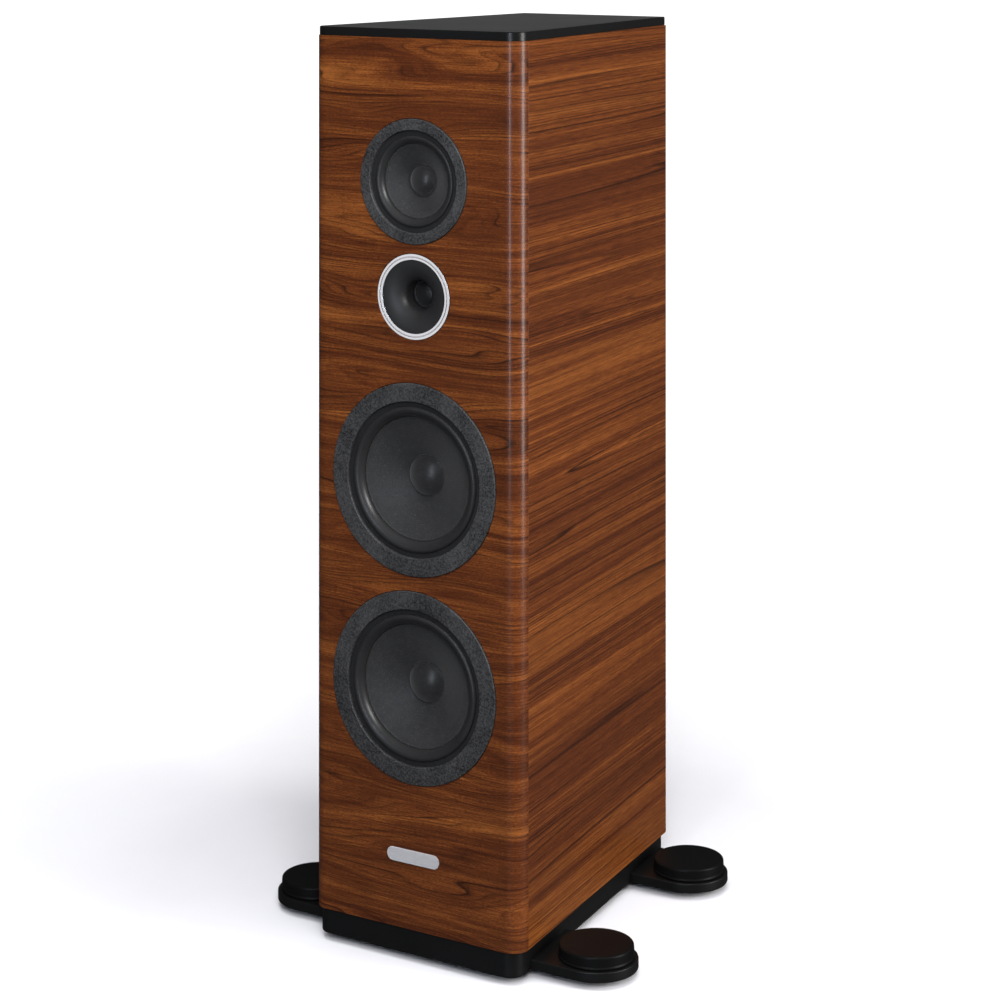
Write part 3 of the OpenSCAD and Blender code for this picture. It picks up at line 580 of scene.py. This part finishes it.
def mark_grain(obj, sheet):
    """Writes where each vertex lies on the veneer: distance round the cabinet from the middle of the front."""
    co = vertices_of(obj.data)
    if sheet == BACK_SHEET:
        u = BACK_START - co[:, 0]
    else:
        x, y = np.abs(co[:, 0]), co[:, 1] - FRONT
        turn = np.clip(np.arctan2(x - FLAT_HALF, np.maximum(EDGE_R - y, 1e-6)), 0, math.pi / 2 + TAPER)
        along = np.maximum(y - EDGE_R, 0)
        u = np.copysign(np.where(x <= FLAT_HALF, x, FLAT_HALF + EDGE_R * turn + along), co[:, 0])
    grain = obj.data.attributes.new("grain", "FLOAT_VECTOR", "POINT")
    value = np.stack([u, np.full_like(u, sheet), co[:, 2]], 1)
    grain.data.foreach_set("vector", value.astype(np.float32).ravel())


def recess(outer, seat, hole, z):
    """Cutter for one driver: recess with a broken edge, and the hole behind it."""
    edge = 0.5
    return Shape().lathe([(0, CUT_OVER), (outer + edge + CUT_OVER, CUT_OVER), (outer, -edge), (outer, seat),
                          (hole, seat), (hole, -CUT_DEPTH), (0, -CUT_DEPTH)], outward(z), 192)


WOOFERS = {name: middle(f"{name}_cone").z for name in ("upper_woofer", "lower_woofer")}
MIDRANGE_Z = middle("midrange_cone").z
TWEETER_Z = middle("tweeter_trim_ring").z


def recess_sizes(z, reach):
    """Recess radius, seat height and hole radius of a driver's place in the CAD baffle."""
    r, h = section("front_baffle", z, reach)
    on_face, on_back = h > -NEAR / 10, h < -(SEAM - FRONT) + NEAR / 10
    outer = r[on_face].min()
    seat = h[(r > outer - NEAR) & (r < outer + NEAR)].min()
    hole = r[on_back].min()
    return outer, seat, hole


baffle = slab(plan(0, 0, SEAM, EDGE_R, 0.5), WOOD_LO, WOOD_HI, BROKEN_EDGE).build("front_baffle_veneered")
# Each driver's height, and how far from its axis its recess may reach
places = [(z, 125) for z in WOOFERS.values()] + [(MIDRANGE_Z, 80), (TWEETER_Z, 56)]
carve(baffle, [recess(*recess_sizes(z, reach), z) for z, reach in places], "walnut_veneer")
mark_grain(baffle, FRONT_SHEET)
stands_for(baffle, "front_baffle")

for side, word in ((1, "right"), (-1, "left")):
    outline = rounded([(seam_half, SEAM, 0.5), (rear_half, REAR, 0.8),
                       (rear_half - (seam_half - panel_inner), REAR), (panel_inner, SEAM)])
    if side < 0:
        outline = [(-x, y) for x, y in reversed(outline)]
    obj = slab(outline, WOOD_LO, WOOD_HI, BROKEN_EDGE).build(f"{word}_side_veneered", "walnut_veneer")
    mark_grain(obj, SIDE_SHEET)
    stands_for(obj, f"{word}_side_panel")


def rounded_plate(w, h, r, steps=10):
    """A rectangle with true arcs for corners."""
    x, y = w / 2 - r, h / 2 - r
    corner_list = ((x, -y, -90), (x, y, 0), (-x, y, 90), (-x, -y, 180))
    return [p for cx, cy, start in corner_list for p in arc(cx, cy, r, start, start + 90, steps)]


plate_lo, plate_hi = corners("terminal_plate")
plate_w, plate_h, plate_z = plate_hi.x - plate_lo.x, plate_hi.z - plate_lo.z, middle("terminal_plate").z
PLATE_R = 8  # corners of the terminal plate and of the cut-outs for it
PLATE_DEPTH = 4  # how deep the plate and the ports' flanges are let in
BETWEEN_PORTS = 750  # a height between the two ports
PORT_OUTER_R = 34
ports = points("port_tubes")
PORT_Z = [(p.min() + p.max()) / 2
          for p in (ports[ports[:, 2] < BETWEEN_PORTS, 2], ports[ports[:, 2] > BETWEEN_PORTS, 2])]
flange_r = corners("port_tubes")[1].x
inner_y = corners("back_panel")[0].y
back_points = points("back_panel")
rear_x = back_points[back_points[:, 1] > REAR - NEAR, 0].max()
inner_x = back_points[back_points[:, 1] < inner_y + NEAR, 0].max()
back = slab([(-rear_x, REAR), (-inner_x, inner_y), (inner_x, inner_y), (rear_x, REAR)], WOOD_LO, WOOD_HI,
            BROKEN_EDGE).build("back_panel_veneered")
flange_cut = flange_r + FIT_GAP
cuts = [Shape().lathe([(0, CUT_OVER), (flange_cut + 0.5 + CUT_OVER, CUT_OVER), (flange_cut, -0.5),
                       (flange_cut, -PLATE_DEPTH), (PORT_OUTER_R + FIT_GAP, -PLATE_DEPTH),
                       (PORT_OUTER_R + FIT_GAP, -CUT_DEPTH), (0, -CUT_DEPTH)], backward(z), 128)
        for z in PORT_Z]
# The terminal plate's recess, and the window behind it
for grow, low, high in ((1, -PLATE_DEPTH, 5), (-30, -CUT_DEPTH, -3)):
    hole = rounded_plate(plate_w + grow, plate_h + grow, PLATE_R)
    cuts.append(Shape().loft([(hole, low), (hole, high)], backward(plate_z)))
carve(back, cuts, "walnut_veneer")
mark_grain(back, BACK_SHEET)
stands_for(back, "back_panel")

cover_lo, cover_hi = corners("top_cover")
cover_in = cover_lo.y - FRONT
cover = slab(plan(cover_in, cover_in, cover_hi.y, EDGE_R - cover_in, 2), cover_lo.z, cover_hi.z, 1.4,
             low_bevel=0.5).build("top_cover_lacquered", "black_lacquer")
stands_for(cover, "top_cover")


def felt_sheet(shape, side, low, high, near, far, outer_at, thick):
    """Quilted felt on one side panel, softly thinner at its edges and along its stitch lines."""
    cell, quilt_step = 9, 60
    rows, columns = max(8, int((high - low) / cell)), max(8, int((far - near) / cell))
    verts = []
    for i in range(rows + 1):
        for j in range(columns + 1):
            s, t = j / columns, i / rows
            y, z = near + (far - near) * s, low + (high - low) * t
            rim = min(s * columns, (1 - s) * columns, t * rows, (1 - t) * rows)
            puff = 1 - 0.5 * math.exp(-rim * 1.4)
            stitches = math.sin((y + z) * math.pi / quilt_step) * math.sin((y - z) * math.pi / quilt_step)
            quilt = 0.86 + 0.14 * abs(stitches) ** 0.5
            verts.append((side * (outer_at(y) - thick * puff * quilt), y, z))
    count = len(verts)
    verts += [(side * outer_at(y), y, z) for _, y, z in verts]

    def grid(i, j):
        return i * (columns + 1) + j

    faces = [[grid(i, j), grid(i, j + 1), grid(i + 1, j + 1), grid(i + 1, j)]
             for i in range(rows) for j in range(columns)]
    faces += [[count + k for k in reversed(f)] for f in faces]
    rim_loop = ([grid(0, j) for j in range(columns)] + [grid(i, columns) for i in range(rows)]
                + [grid(rows, j) for j in range(columns, 0, -1)] + [grid(i, 0) for i in range(rows, 0, -1)])
    for a, b in zip(rim_loop, rim_loop[1:] + rim_loop[:1]):
        faces.append([a, b, count + b, count + a])
    shape.add(verts, faces)


pads = points("damping_pads")
levels = sorted(set(np.round(pads[:, 2], 1)))
felt = Shape()
for low, high in zip(levels[::2], levels[1::2]):
    here = pads[np.abs(pads[:, 2] - low) < 0.2]
    near, far = here[:, 1].min(), here[:, 1].max()
    x_near = here[np.abs(here[:, 1] - near) < NEAR, 0]
    x_far = here[np.abs(here[:, 1] - far) < NEAR, 0].max()
    thick = x_near.max() - np.abs(x_near).min()
    for side in (1, -1):
        felt_sheet(felt, side, low, high, near, far,
                   lambda y: x_near.max() + (x_far - x_near.max()) * (y - near) / (far - near), thick)
stands_for(felt.build("damping_felt", "felt", 50), "damping_pads")


def face_rings(outline, top, steps):
    """Rings of a plate's outline, from (inward, down) steps measured from its edge and its top."""
    return [(inset(outline, inward), top - down) for inward, down in steps]


badge_lo, badge_hi = corners("badge")
badge_out = rounded_plate(badge_hi.x - badge_lo.x, badge_hi.z - badge_lo.z, 8, 14)
badge_t = FRONT - badge_lo.y
# A rounded edge, then a fine groove that runs round the face
badge = Shape().loft(face_rings(badge_out, badge_t, [(0, badge_t), (0, 0.35), (0.12, 0.1), (0.4, 0), (1.3, 0),
                                                     (1.5, 0.25), (1.9, 0.25), (2.1, 0)]),
                     outward((badge_lo.z + badge_hi.z) / 2))
stands_for(badge.build("name_plate_blank", "brushed_aluminium"), "badge")


# ---------- Base ----------

plinth_lo, plinth_hi = corners("plinth")
plinth_points = points("plinth")
plinth_rear_x = plinth_points[plinth_points[:, 1] > plinth_hi.y - NEAR, 0].max()
plinth_side = half_at(plinth_hi.y) - plinth_rear_x
plinth_front = plinth_lo.y - FRONT


def stadium(foot_x, y, r):
    """The outline of a bar with round ends."""
    return arc(foot_x, y, r, -90, 90, 40) + arc(-foot_x, y, r, 90, 270, 40)


HUB_R, HUB_HOLE_R = 14, 14.06
SPINDLE_R, SPINDLE_BORE_R, THREAD_ROOT_R, THREAD_STEP = 5.98, 6.06, 5.45, 1.5
BOLT_HOLE_R, BOLT_HEAD_R, BOLT_HEAD_DEPTH = 4.1, 8.2, 4.2
BOLT_X, BOLT_REACH = 70, {"front": 25, "rear": 20}
BARS = {}  # foot's x, foot's y, end radius, underside and top of each bar
for place in ("front", "rear"):
    foot = middle(f"foot_{place}_right")
    bar_lo, bar_hi = corners(f"{place}_outrigger")
    BARS[place] = (foot.x, foot.y, (bar_hi.y - bar_lo.y) / 2, bar_lo.z, bar_hi.z)

plinth = slab(plan(plinth_side, plinth_front, plinth_hi.y, EDGE_R - plinth_front, 1), plinth_lo.z, plinth_hi.z,
              0.8).build("plinth_coated")
channels = [Shape().loft([(stadium(x, y, r + FIT_GAP), low - 5), (stadium(x, y, r + FIT_GAP), high)], upward())
            for x, y, r, low, high in BARS.values()]
carve(plinth, channels, "black_powder_coat")
stands_for(plinth, "plinth")

for place, (x, y, r, low, high) in BARS.items():
    bar = slab(stadium(x, y, r), low, high, 1.1).build(f"{place}_bar_coated")
    start, end, head_top, reach = low - 2, high + 2, low + BOLT_HEAD_DEPTH, BOLT_REACH[place]
    cuts = [Shape().lathe([(0, start), (HUB_HOLE_R, start), (HUB_HOLE_R, end), (0, end)], upward(s * x, y), 96)
            for s in (1, -1)]
    cuts += [Shape().lathe([(0, start), (BOLT_HEAD_R, start), (BOLT_HEAD_R, head_top), (BOLT_HOLE_R, head_top),
                            (BOLT_HOLE_R, end), (0, end)], upward(bolt_x, y + bolt_y), 48)
             for bolt_x in (-BOLT_X, BOLT_X) for bolt_y in (-reach, reach)]
    carve(bar, cuts, "black_powder_coat")
    stands_for(bar, f"{place}_outrigger")

for place in ("front", "rear"):
    for side in ("left", "right"):
        node = f"handwheel_{place}_{side}"
        lo, hi = corners(node)
        centre, radius = (lo + hi) / 2, (hi.x - lo.x) / 2
        stand = upward(centre.x, centre.y)
        bore_top, low = 34, BARS[place][4] + 0.2
        profile = rounded([(0, bore_top), (SPINDLE_BORE_R, bore_top), (SPINDLE_BORE_R, lo.z),
                           (HUB_R, lo.z, 0.5), (HUB_R, low, 0.4), (radius - 1.2, low, 0.8),
                           (radius, low + 1.4, 0.8), (radius, low + 2.4, 0.8), (radius - 0.9, low + 4, 1),
                           (radius - 1.3, hi.z, 3.2), (radius - 14, hi.z - 0.05, 3), (0, hi.z - 0.35)],
                          closed=False, steps=8)
        wheel = Shape().lathe(profile, stand, 160).build(f"{node}_anodised", "black_anodised", 40)
        stands_for(wheel, node)

        node = f"foot_{place}_{side}"
        lo, hi = corners(node)
        pad_r, pad_top = (hi.x - lo.x) / 2, 8.0
        pad = rounded([(0, 0.6), (6, 0.6, 0.3), (6.6, 0, 0.3), (11, 0, 0.3), (11.6, 0.7, 0.3), (13, 0.7, 0.3),
                       (13.6, 0, 0.3), (pad_r - 4, 0, 0.6), (pad_r - 1.1, 2.2, 1), (pad_r - 1.1, 5.6, 0.5),
                       (pad_r, 6.2, 0.5), (pad_r, pad_top, 0.8), (0, pad_top)], closed=False, steps=4)
        stands_for(Shape().lathe(pad, stand, 96).build(f"{node}_pad", "foot_rubber", 50), node)
        thread, thread_low = [(0.0, 1.0), (SPINDLE_R, 1.0)], 9.0
        for k in range(int((hi.z - 1 - thread_low) / THREAD_STEP)):
            crest_z = thread_low + THREAD_STEP * k
            thread += [(SPINDLE_R, crest_z), (THREAD_ROOT_R, crest_z + THREAD_STEP / 2)]
        thread += [(5.6, hi.z - 0.8), (4.9, hi.z), (0.0, hi.z)]
        spindle = Shape().lathe(thread, stand, 48).build(f"{node}_spindle", "zinc_steel", 20)
        stands_for(spindle, node)


# ---------- Cone drivers ----------


def trim_ring(node, z):
    """A ring with a rounded rim, and a lip on its back that centres it in the baffle."""
    r, h = section(node, z)
    outer, opening, top, flange = r.max(), r.min(), h.max(), h.min()
    base = h[r < opening + NEAR].min()
    lip = r[h < flange + 0.05].min()
    return rounded([(opening, base, 0.2), (lip, base), (lip, flange), (outer, flange, 0.2), (outer, top, 1.25),
                    (opening, top, 1.15)], steps=6)


def sheet_of(top, thick):
    """The closed outline of a sheet whose upper side is top."""
    return top + [(x, y - thick) for x, y in reversed(top)]


def surround_line(node, z):
    """A half roll between the cone's edge and a flat lip under the trim ring."""
    lip_w = 8.5
    r, h = section(node, z)
    start, end = r.min(), r.max() - lip_w
    lip_h = h[r > r.max() - NEAR].max()
    edge_h = h[r < start + NEAR].max()
    rise = h.max() - (lip_h + edge_h) / 2
    top = [(start, edge_h)]
    for a in np.linspace(0, math.pi, 33)[1:]:
        w = (1 - math.cos(a)) / 2
        top.append((start + (end - start) * w, edge_h + (lip_h - edge_h) * w + rise * math.sin(a)))
    top += [(end + 1.2, lip_h), (r.max(), lip_h)]
    return sheet_of(top, 1.0), start, end


def spider_line(node, z):
    """Corrugated cloth between the voice coil and a flat lip on the basket."""
    lip_w, waves, wave_h = 6, 5, 1.5
    r, h = section(node, z)
    lip = h[r > r.max() - NEAR].max()
    start, end = r.min(), r.max() - lip_w
    top = [(start + (end - start) * t, lip + wave_h * math.sin(2 * math.pi * waves * t))
           for t in np.linspace(0, 1, 101)]
    return sheet_of(top + [(r.max(), lip)], 0.9), start, end


def bends(obj, node, z, outer):
    """Bakes obj's placement into its mesh and hides the CAD node that it stands for."""
    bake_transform(obj)
    co = vertices_of(obj.data)
    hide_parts(node)


for name, z in list(WOOFERS.items()) + [("midrange", MIDRANGE_Z)]:
    place = outward(z)
    ring_node = "midrange_trim_ring" if name == "midrange" else "woofer_trim_rings"
    ring = Shape().lathe(trim_ring(ring_node, z), place, 192)
    stands_for(ring.build(f"{name}_trim_ring_coated", "textured_black", 50), ring_node)

    for node, line_of, segments, look, material in (
            (f"{name}_surround", surround_line, 192, "roll", "surround_rubber"),
            (f"{name}_spider", spider_line, 144, "corrugated", "spider_cloth")):
        line, inner, outer = line_of(node, z)
        obj = Shape().lathe(line, place, segments).build(f"{node}_{look}", material, 60)
        bends(obj, node, z, outer)

    node = f"{name}_cone"
    curve, neck, edge = front_line(node, z)
    radii = np.linspace(edge, neck, 40)
    # a rolled bead at the edge, then the cone's curve down to its neck, and back underneath
    top = [(edge, curve(edge) - 0.2), (edge - 0.5, curve(edge) + 0.25), (edge - 1.6, curve(edge) + 0.2),
           (edge - 2.2, curve(edge - 2.2))] + [(r, curve(r)) for r in radii if r < edge - 2.4]
    cone = top + [(r, curve(r) - 1.2) for r in radii[::-1]]
    stands_for(Shape().lathe(cone, place, 192).build(f"{node}_pressed", "paper_pulp", 60), node)

    node = f"{name}_dust_cap"
    r, h = section(node, z)
    rim, crest, base, cap_t = r.max(), h.max(), h[r > r.max() - NEAR].max(), 0.9
    if name == "midrange":  # a flat flange round the crown
        crown = rim - 3
        profile = [(rim, base - cap_t), (rim, base + 0.1), (crown + 0.9, base + 0.15),
                   (crown + 0.35, base - 0.25), (crown, base)]
    else:  # a small glued bead
        crown = rim - 0.2
        profile = [(rim, base - cap_t), (rim + 0.7, base - 0.4), (rim + 0.5, base + 0.3), (crown, base + 0.2)]
        base += 0.2
    rise = crest - base
    ball = (crown ** 2 + rise ** 2) / (2 * rise)
    for t in np.linspace(1, 0, 30)[1:]:
        a = math.asin(min(crown / ball, 1)) * t
        profile.append((ball * math.sin(a), crest - ball * (1 - math.cos(a))))
    profile[-1] = (0.0, crest)
    under = [(0.0, crest - cap_t)] + [(r, h - cap_t) for r, h in reversed(profile[6:-1])]
    cap = Shape().lathe(profile + under, place, 128).build(f"{node}_domed", "dust_cap_fabric", 60)
    stands_for(cap, node)


# ---------- Tweeter ----------

place = outward(TWEETER_Z)
r, h = section("tweeter_trim_ring", TWEETER_Z)
outer, mouth, back_h = r.max(), r.min(), h.min()
groove = (outer + mouth) / 2
ring = rounded([(mouth, back_h), (outer, back_h), (outer, 0, 0.5), (groove + 0.75, 0, 0.15),
                (groove + 0.25, -0.45, 0.15), (groove - 0.25, -0.45, 0.15), (groove - 0.75, 0, 0.15),
                (mouth, 0, 0.6)], steps=5)
stands_for(Shape().lathe(ring, place, 192).build("tweeter_ring_polished", "polished_aluminium", 50),
           "tweeter_trim_ring")

r, h = section("tweeter_horn", TWEETER_Z)
horn_back, body_r, socket_r, throat_end, flare_end, flare_h = h.min(), 34.0, 22, -25, -17, 16.4
throat, lip_r = r[h > throat_end + 1].min(), mouth - 0.1
quarter = [math.radians(90 * (1 - t)) for t in np.linspace(0, 1, 40)]
flare = [(throat + (lip_r - throat) * (1 - math.cos(a)), flare_end + flare_h * math.sin(a)) for a in quarter]
horn = flare + [(throat - 0.4, -21), (throat - 0.8, throat_end), (socket_r, throat_end), (socket_r, horn_back),
                (body_r, horn_back), (body_r, -14), (body_r + 3.5, -8), (outer - 0.5, -8), (outer - 0.5, -3.5),
                (lip_r, -3.5)]
stands_for(Shape().lathe(horn, place, 160).build("tweeter_horn_moulded", "satin_black_plastic", 50),
           "tweeter_horn")

r, h = section("tweeter_dome", TWEETER_Z)
rise, roll_w, roll_h = 4, 4, 1.4
crest, rim = h.max(), r.max()
base, dome_r = crest - rise, rim - 6
ball = (dome_r ** 2 + rise ** 2) / (2 * rise)
half_angle = math.asin(dome_r / ball)
dome = [(ball * math.sin(half_angle * t), crest - ball * (1 - math.cos(half_angle * t)))
        for t in np.linspace(0, 1, 26)]
dome += [(dome_r + roll_w * (1 - math.cos(a)) / 2, base + roll_h * math.sin(a))
         for a in np.linspace(0, math.pi, 17)[1:]]
dome = sheet_of(dome + [(rim, base)], 0.5)
stands_for(Shape().lathe(dome, place, 96).build("tweeter_dome_silk", "dome_silk", 60), "tweeter_dome")


# ---------- Rear fittings ----------

PORT_R, FLARE_R, PORT_END = 31, 9, -160
mouth_r = PORT_R + FLARE_R
flare = [(mouth_r - FLARE_R * math.sin(a), FLARE_R * math.cos(a) - FLARE_R)
         for a in np.linspace(0, math.pi / 2, 24)]
tube = flare + rounded([(PORT_R, -FLARE_R - 0.5), (PORT_R, PORT_END, 1), (PORT_OUTER_R, PORT_END, 1),
                        (PORT_OUTER_R, -PLATE_DEPTH), (flange_r, -PLATE_DEPTH), (flange_r, 0, 1.2),
                        (mouth_r, 0)], closed=False)[1:-1]
for k, z in enumerate(PORT_Z):
    port = Shape().lathe(tube, backward(z), 128)
    stands_for(port.build(f"port_tube_{k + 1}", "satin_black_plastic", 50), "port_tubes")

plate_out = rounded_plate(plate_w, plate_h, PLATE_R)
# A rounded edge, then a groove that runs round the face
plate_steps = [(0, PLATE_DEPTH), (0, 0.6), (0.2, 0.15), (0.6, 0), (3, 0), (3.3, 0.4), (3.9, 0.4), (4.2, 0)]
plate = Shape().loft(face_rings(plate_out, 0, plate_steps), backward(plate_z)).build("terminal_plate_moulded")
post_x = middle("post_cap_positive").x
screw_x, screw_z = plate_w / 2 - 7, plate_h / 2 - 7
cuts = [Shape().lathe([(0, -6), (4.1, -6), (4.1, 3), (0, 3)], backward(plate_z, s * post_x), 64)
        for s in (1, -1)]
cuts += [Shape().lathe([(0, -6), (2.1, -6), (2.1, -3), (3.5, -3), (3.5, 3), (0, 3)],
                       backward(plate_z + b * screw_z, a * screw_x), 48) for a in (1, -1) for b in (1, -1)]
carve(plate, cuts, "satin_black_plastic")
stands_for(plate, "terminal_plate")

POST_R, POST_BORE_R, SOCKET_R, SOCKET_DEPTH = 4.0, 4.06, 2.0, 20
post_lo, post_hi = corners("binding_posts")
post_top, post_low = post_hi.y - REAR, post_lo.y - REAR
# The stud with its collar, thread and plug socket, and the hexagonal nut behind the plate
stud = [(0.0, post_low), (POST_R, post_low), (POST_R, -0.2), (9.3, 0.0), (9.5, 0.3), (9.5, 2.7), (9.2, 3.0),
        (POST_R, 3.0)]
for k in range(int(post_top - 4.5)):
    stud += [(3.98, 4.2 + k), (3.62, 4.7 + k)]
stud += [(3.6, post_top - 0.3), (3.3, post_top), (2.2, post_top), (SOCKET_R, post_top - 0.3),
         (SOCKET_R, post_top - SOCKET_DEPTH), (0.0, post_top - SOCKET_DEPTH - 0.8)]
nut = [(7 * math.cos(math.radians(60 * k)), 7 * math.sin(math.radians(60 * k))) for k in range(6)]
posts = Shape()
for s in (1, -1):
    place = backward(plate_z, s * post_x)
    posts.lathe(stud, place, 64)
    posts.loft([(inset(nut, 0.4), -9.0), (nut, -8.6), (nut, -4.4), (inset(nut, 0.4), -4.02)], place)
stands_for(posts.build("binding_posts_threaded", "gold_brass", 25), "binding_posts")


def fluted(r, depth, count=192):
    """A circle with sixteen round flutes."""
    out = []
    for k in range(count):
        a = 2 * math.pi * k / count
        bite = depth * max(0.0, math.cos(16 * a + math.pi)) ** 0.7
        out.append(((r - bite) * math.cos(a), (r - bite) * math.sin(a)))
    return out


for polarity, cap_material in (("positive", "red_plastic"), ("negative", "black_plastic")):
    s = 1 if middle(f"post_cap_{polarity}").x > 0 else -1
    place = backward(plate_z, s * post_x)
    node = f"clamp_washer_{polarity}"
    low, high = (corner.y - REAR for corner in corners(node))
    washer = rounded([(POST_BORE_R, low), (8.5, low, 0.3), (8.5, high, 0.3), (POST_BORE_R, high)])
    stands_for(Shape().lathe(washer, place, 64).build(f"{node}_turned", "gold_brass", 40), node)

    node = f"post_cap_{polarity}"
    low, high = (corner.y - REAR for corner in corners(node))
    hole = fluted(POST_BORE_R, 0.0)
    rings = [(hole, low)]
    for r, depth, h in ((8.9, 0.4, low), (9.5, 0.7, low + 0.6), (9.5, 0.7, high - 2.4), (9.2, 0.5, high - 1.5),
                        (8.7, 0.15, high - 0.6), (7.8, 0.0, high)):
        rings.append((fluted(r, depth), h))
    cap = Shape().loft(rings + [(hole, high)], place, closed=True)
    stands_for(cap.build(f"{node}_fluted", cap_material, 40), node)


# ---------- CAD nodes that stay as they are ----------

for node, obj in frame["nodes"].items():
    if not obj.hide_render:
        obj.data.materials.clear()
        obj.data.materials.append(MATERIAL[SLOT[node]])


# ---------- Stage, light and camera ----------

scene = bpy.context.scene
scene.view_settings.view_transform = "Standard"

# A round pale floor that curves up into a wall all the way round
FLOOR_R, SWEEP_R, WALL_TOP = 4200, 2400, 5200
sweep = [(0.0, 0.0), (1500.0, 0.0), (FLOOR_R, 0.0)]
sweep += [(FLOOR_R + SWEEP_R * math.sin(a), SWEEP_R - SWEEP_R * math.cos(a))
          for a in np.linspace(0, math.pi / 2, 24)[1:]]
sweep += [(FLOOR_R + SWEEP_R, WALL_TOP)]
# The camera sees it bright, and brighter towards the wall: painted light, an emission that only camera rays
# see, as if lit from behind. The speaker sees it grey, as in a dark studio, so that its blacks stay black
s = Shader("studio_floor")
pale = s.ramp(s.noise(s.place(), 0.004, 3), [(0.3, grey(238)), (0.7, grey(242))])
camera_ray = s.node("ShaderNodeLightPath", {})
metres = s.node("ShaderNodeVectorMath", {0: s.scaled(s.place(), (MM, MM, MM))}, output=1, operation="LENGTH")
# painted light: emission for camera rays only, none near the speaker, rising towards the wall
painted_backdrop_light = s.ramp(s.over(metres, 8.0), [(0.06, 0.0), (0.12, 0.25), (0.45, 0.75)])
s.set(Base_Color=s.mix(camera_ray, grey(120), pale), Roughness=0.85, Specular_IOR_Level=0.1,
      Emission_Color=(1, 1, 1, 1), Emission_Strength=s.times(camera_ray, painted_backdrop_light))
MATERIAL["studio_floor"] = s.material
floor = Shape().lathe(sweep, upward(), 96).build("studio_floor", "studio_floor", 60)
floor.visible_glossy = False

world = bpy.data.worlds.new("studio")
scene.world = world
# Light rays sampled from the world don't know which lobe asked, so only rays that leave a surface may find it
world.cycles.sampling_method = "NONE"
world.use_nodes = True
tree = world.node_tree
tree.nodes.clear()
out = tree.nodes.new("ShaderNodeOutputWorld")
path = tree.nodes.new("ShaderNodeLightPath")
choose = tree.nodes.new("ShaderNodeMixShader")
soft, mirror = tree.nodes.new("ShaderNodeBackground"), tree.nodes.new("ShaderNodeBackground")
for background, colour, strength in ((soft, (1.0, 1.0, 1.0, 1), 0.45), (mirror, (0.95, 0.97, 1.0, 1), 0.04)):
    background.inputs[0].default_value, background.inputs[1].default_value = colour, strength
tree.links.new(path.outputs["Is Glossy Ray"], choose.inputs[0])
tree.links.new(soft.outputs[0], choose.inputs[1])
tree.links.new(mirror.outputs[0], choose.inputs[2])
tree.links.new(choose.outputs[0], out.inputs[0])


def softbox(name, azimuth, height, distance, width, tall, power, colour=(1, 1, 1), aim=0.55, mirrored=True):
    """An area light round the speaker, in metres and watts. Azimuth 0 is in front and 90 on its right.

    It points at the height aim over the middle. Only a mirrored light shows in reflections."""
    light = bpy.data.lights.new(name, "AREA")
    light.shape, light.size, light.size_y = "RECTANGLE", width, tall
    light.energy, light.color = power, colour
    obj = bpy.data.objects.new(name, light)
    scene.collection.objects.link(obj)
    a = math.radians(azimuth)
    obj.location = (math.sin(a) * distance, -math.cos(a) * distance, height)
    obj.rotation_euler = (Vector((0, 0, aim)) - obj.location).to_track_quat("-Z", "Y").to_euler()
    obj.visible_camera, obj.visible_glossy = False, mirrored
    return obj


softbox("side_softbox", 99, 1.1, 3.2, 1.1, 2.6, 72, (1.0, 0.98, 0.96))
softbox("front_strip", 9, 1.2, 3.6, 0.3, 2.6, 34, (0.80, 0.88, 1.0))
softbox("key_light", 34, 2.3, 3.4, 1.2, 1.2, 88, mirrored=False)
softbox("side_fill", 92, 1.3, 3.4, 1.2, 1.6, 45, (1.0, 0.97, 0.93), mirrored=False)
softbox("top_light", 20, 3.4, 1.2, 2.2, 2.2, 75, mirrored=False)

# Lights that only the named pieces see, as cards and snoots held close to them would give
metals = ["tweeter_ring_polished", "name_plate_blank"]
cones = [f"{name}_{piece}" for name in ("upper_woofer", "lower_woofer", "midrange")
         for piece in ("cone_pressed", "dust_cap_domed", "surround_roll", "trim_ring_coated")]
base = [f"handwheel_{place}_{side}_anodised" for place in BARS for side in ("left", "right")]
base += [f"{place}_bar_coated" for place in BARS]
rear = ["back_panel_veneered", "left_side_veneered", "right_side_veneered", "terminal_plate_moulded"]
for name, pieces, light, aim in (
        ("metal_card", metals, (-31, 0.7, 2.6, 1.6, 2.2, 12), 0.55),
        ("cover_card", ["top_cover_lacquered"], (-147, 1.55, 3.4, 2.4, 0.9, 1.3), 1.1),
        ("cone_light", cones + ["tweeter_horn_moulded"], (74, 2.3, 3.0, 0.8, 0.8, 90), 0.6),
        ("base_light", base + ["plinth_coated"], (33, 2.8, 1.2, 0.8, 0.8, 14), 0.0),
        ("back_light", rear + ["port_tube_1", "port_tube_2"], (208, 1.7, 3.2, 1.4, 2.0, 60), 0.6)):
    seen = bpy.data.collections.new(name)
    for piece in pieces:
        seen.objects.link(bpy.data.objects[piece])
    softbox(name, *light, aim=aim).light_linking.receiver_collection = seen

CAMERA_X, LENS_SHIFT = 1.6796, -0.60226
camera = bpy.data.objects.new("camera", bpy.data.cameras.new("camera"))
scene.collection.objects.link(camera)
scene.camera = camera
camera.location = (CAMERA_X, FRONT * MM - 2.5693, 1.2809)
camera.rotation_euler = (math.radians(90), 0, math.radians(31.227))
camera.data.lens, camera.data.sensor_width = 91.91, 36
camera.data.clip_end = 60
camera.data.shift_y = LENS_SHIFT
# The lens shift belongs to this one viewpoint: it drops to 0 when the camera stands elsewhere
shift = camera.data.driver_add("shift_y").driver
spot = shift.variables.new()
spot.name, spot.type = "x", "TRANSFORMS"
target = spot.targets[0]
target.id, target.transform_type, target.transform_space = camera, "LOC_X", "WORLD_SPACE"
shift.expression = f"{LENS_SHIFT} if abs(x - {CAMERA_X}) < 0.001 else 0"

bpy.context.view_layer.update()
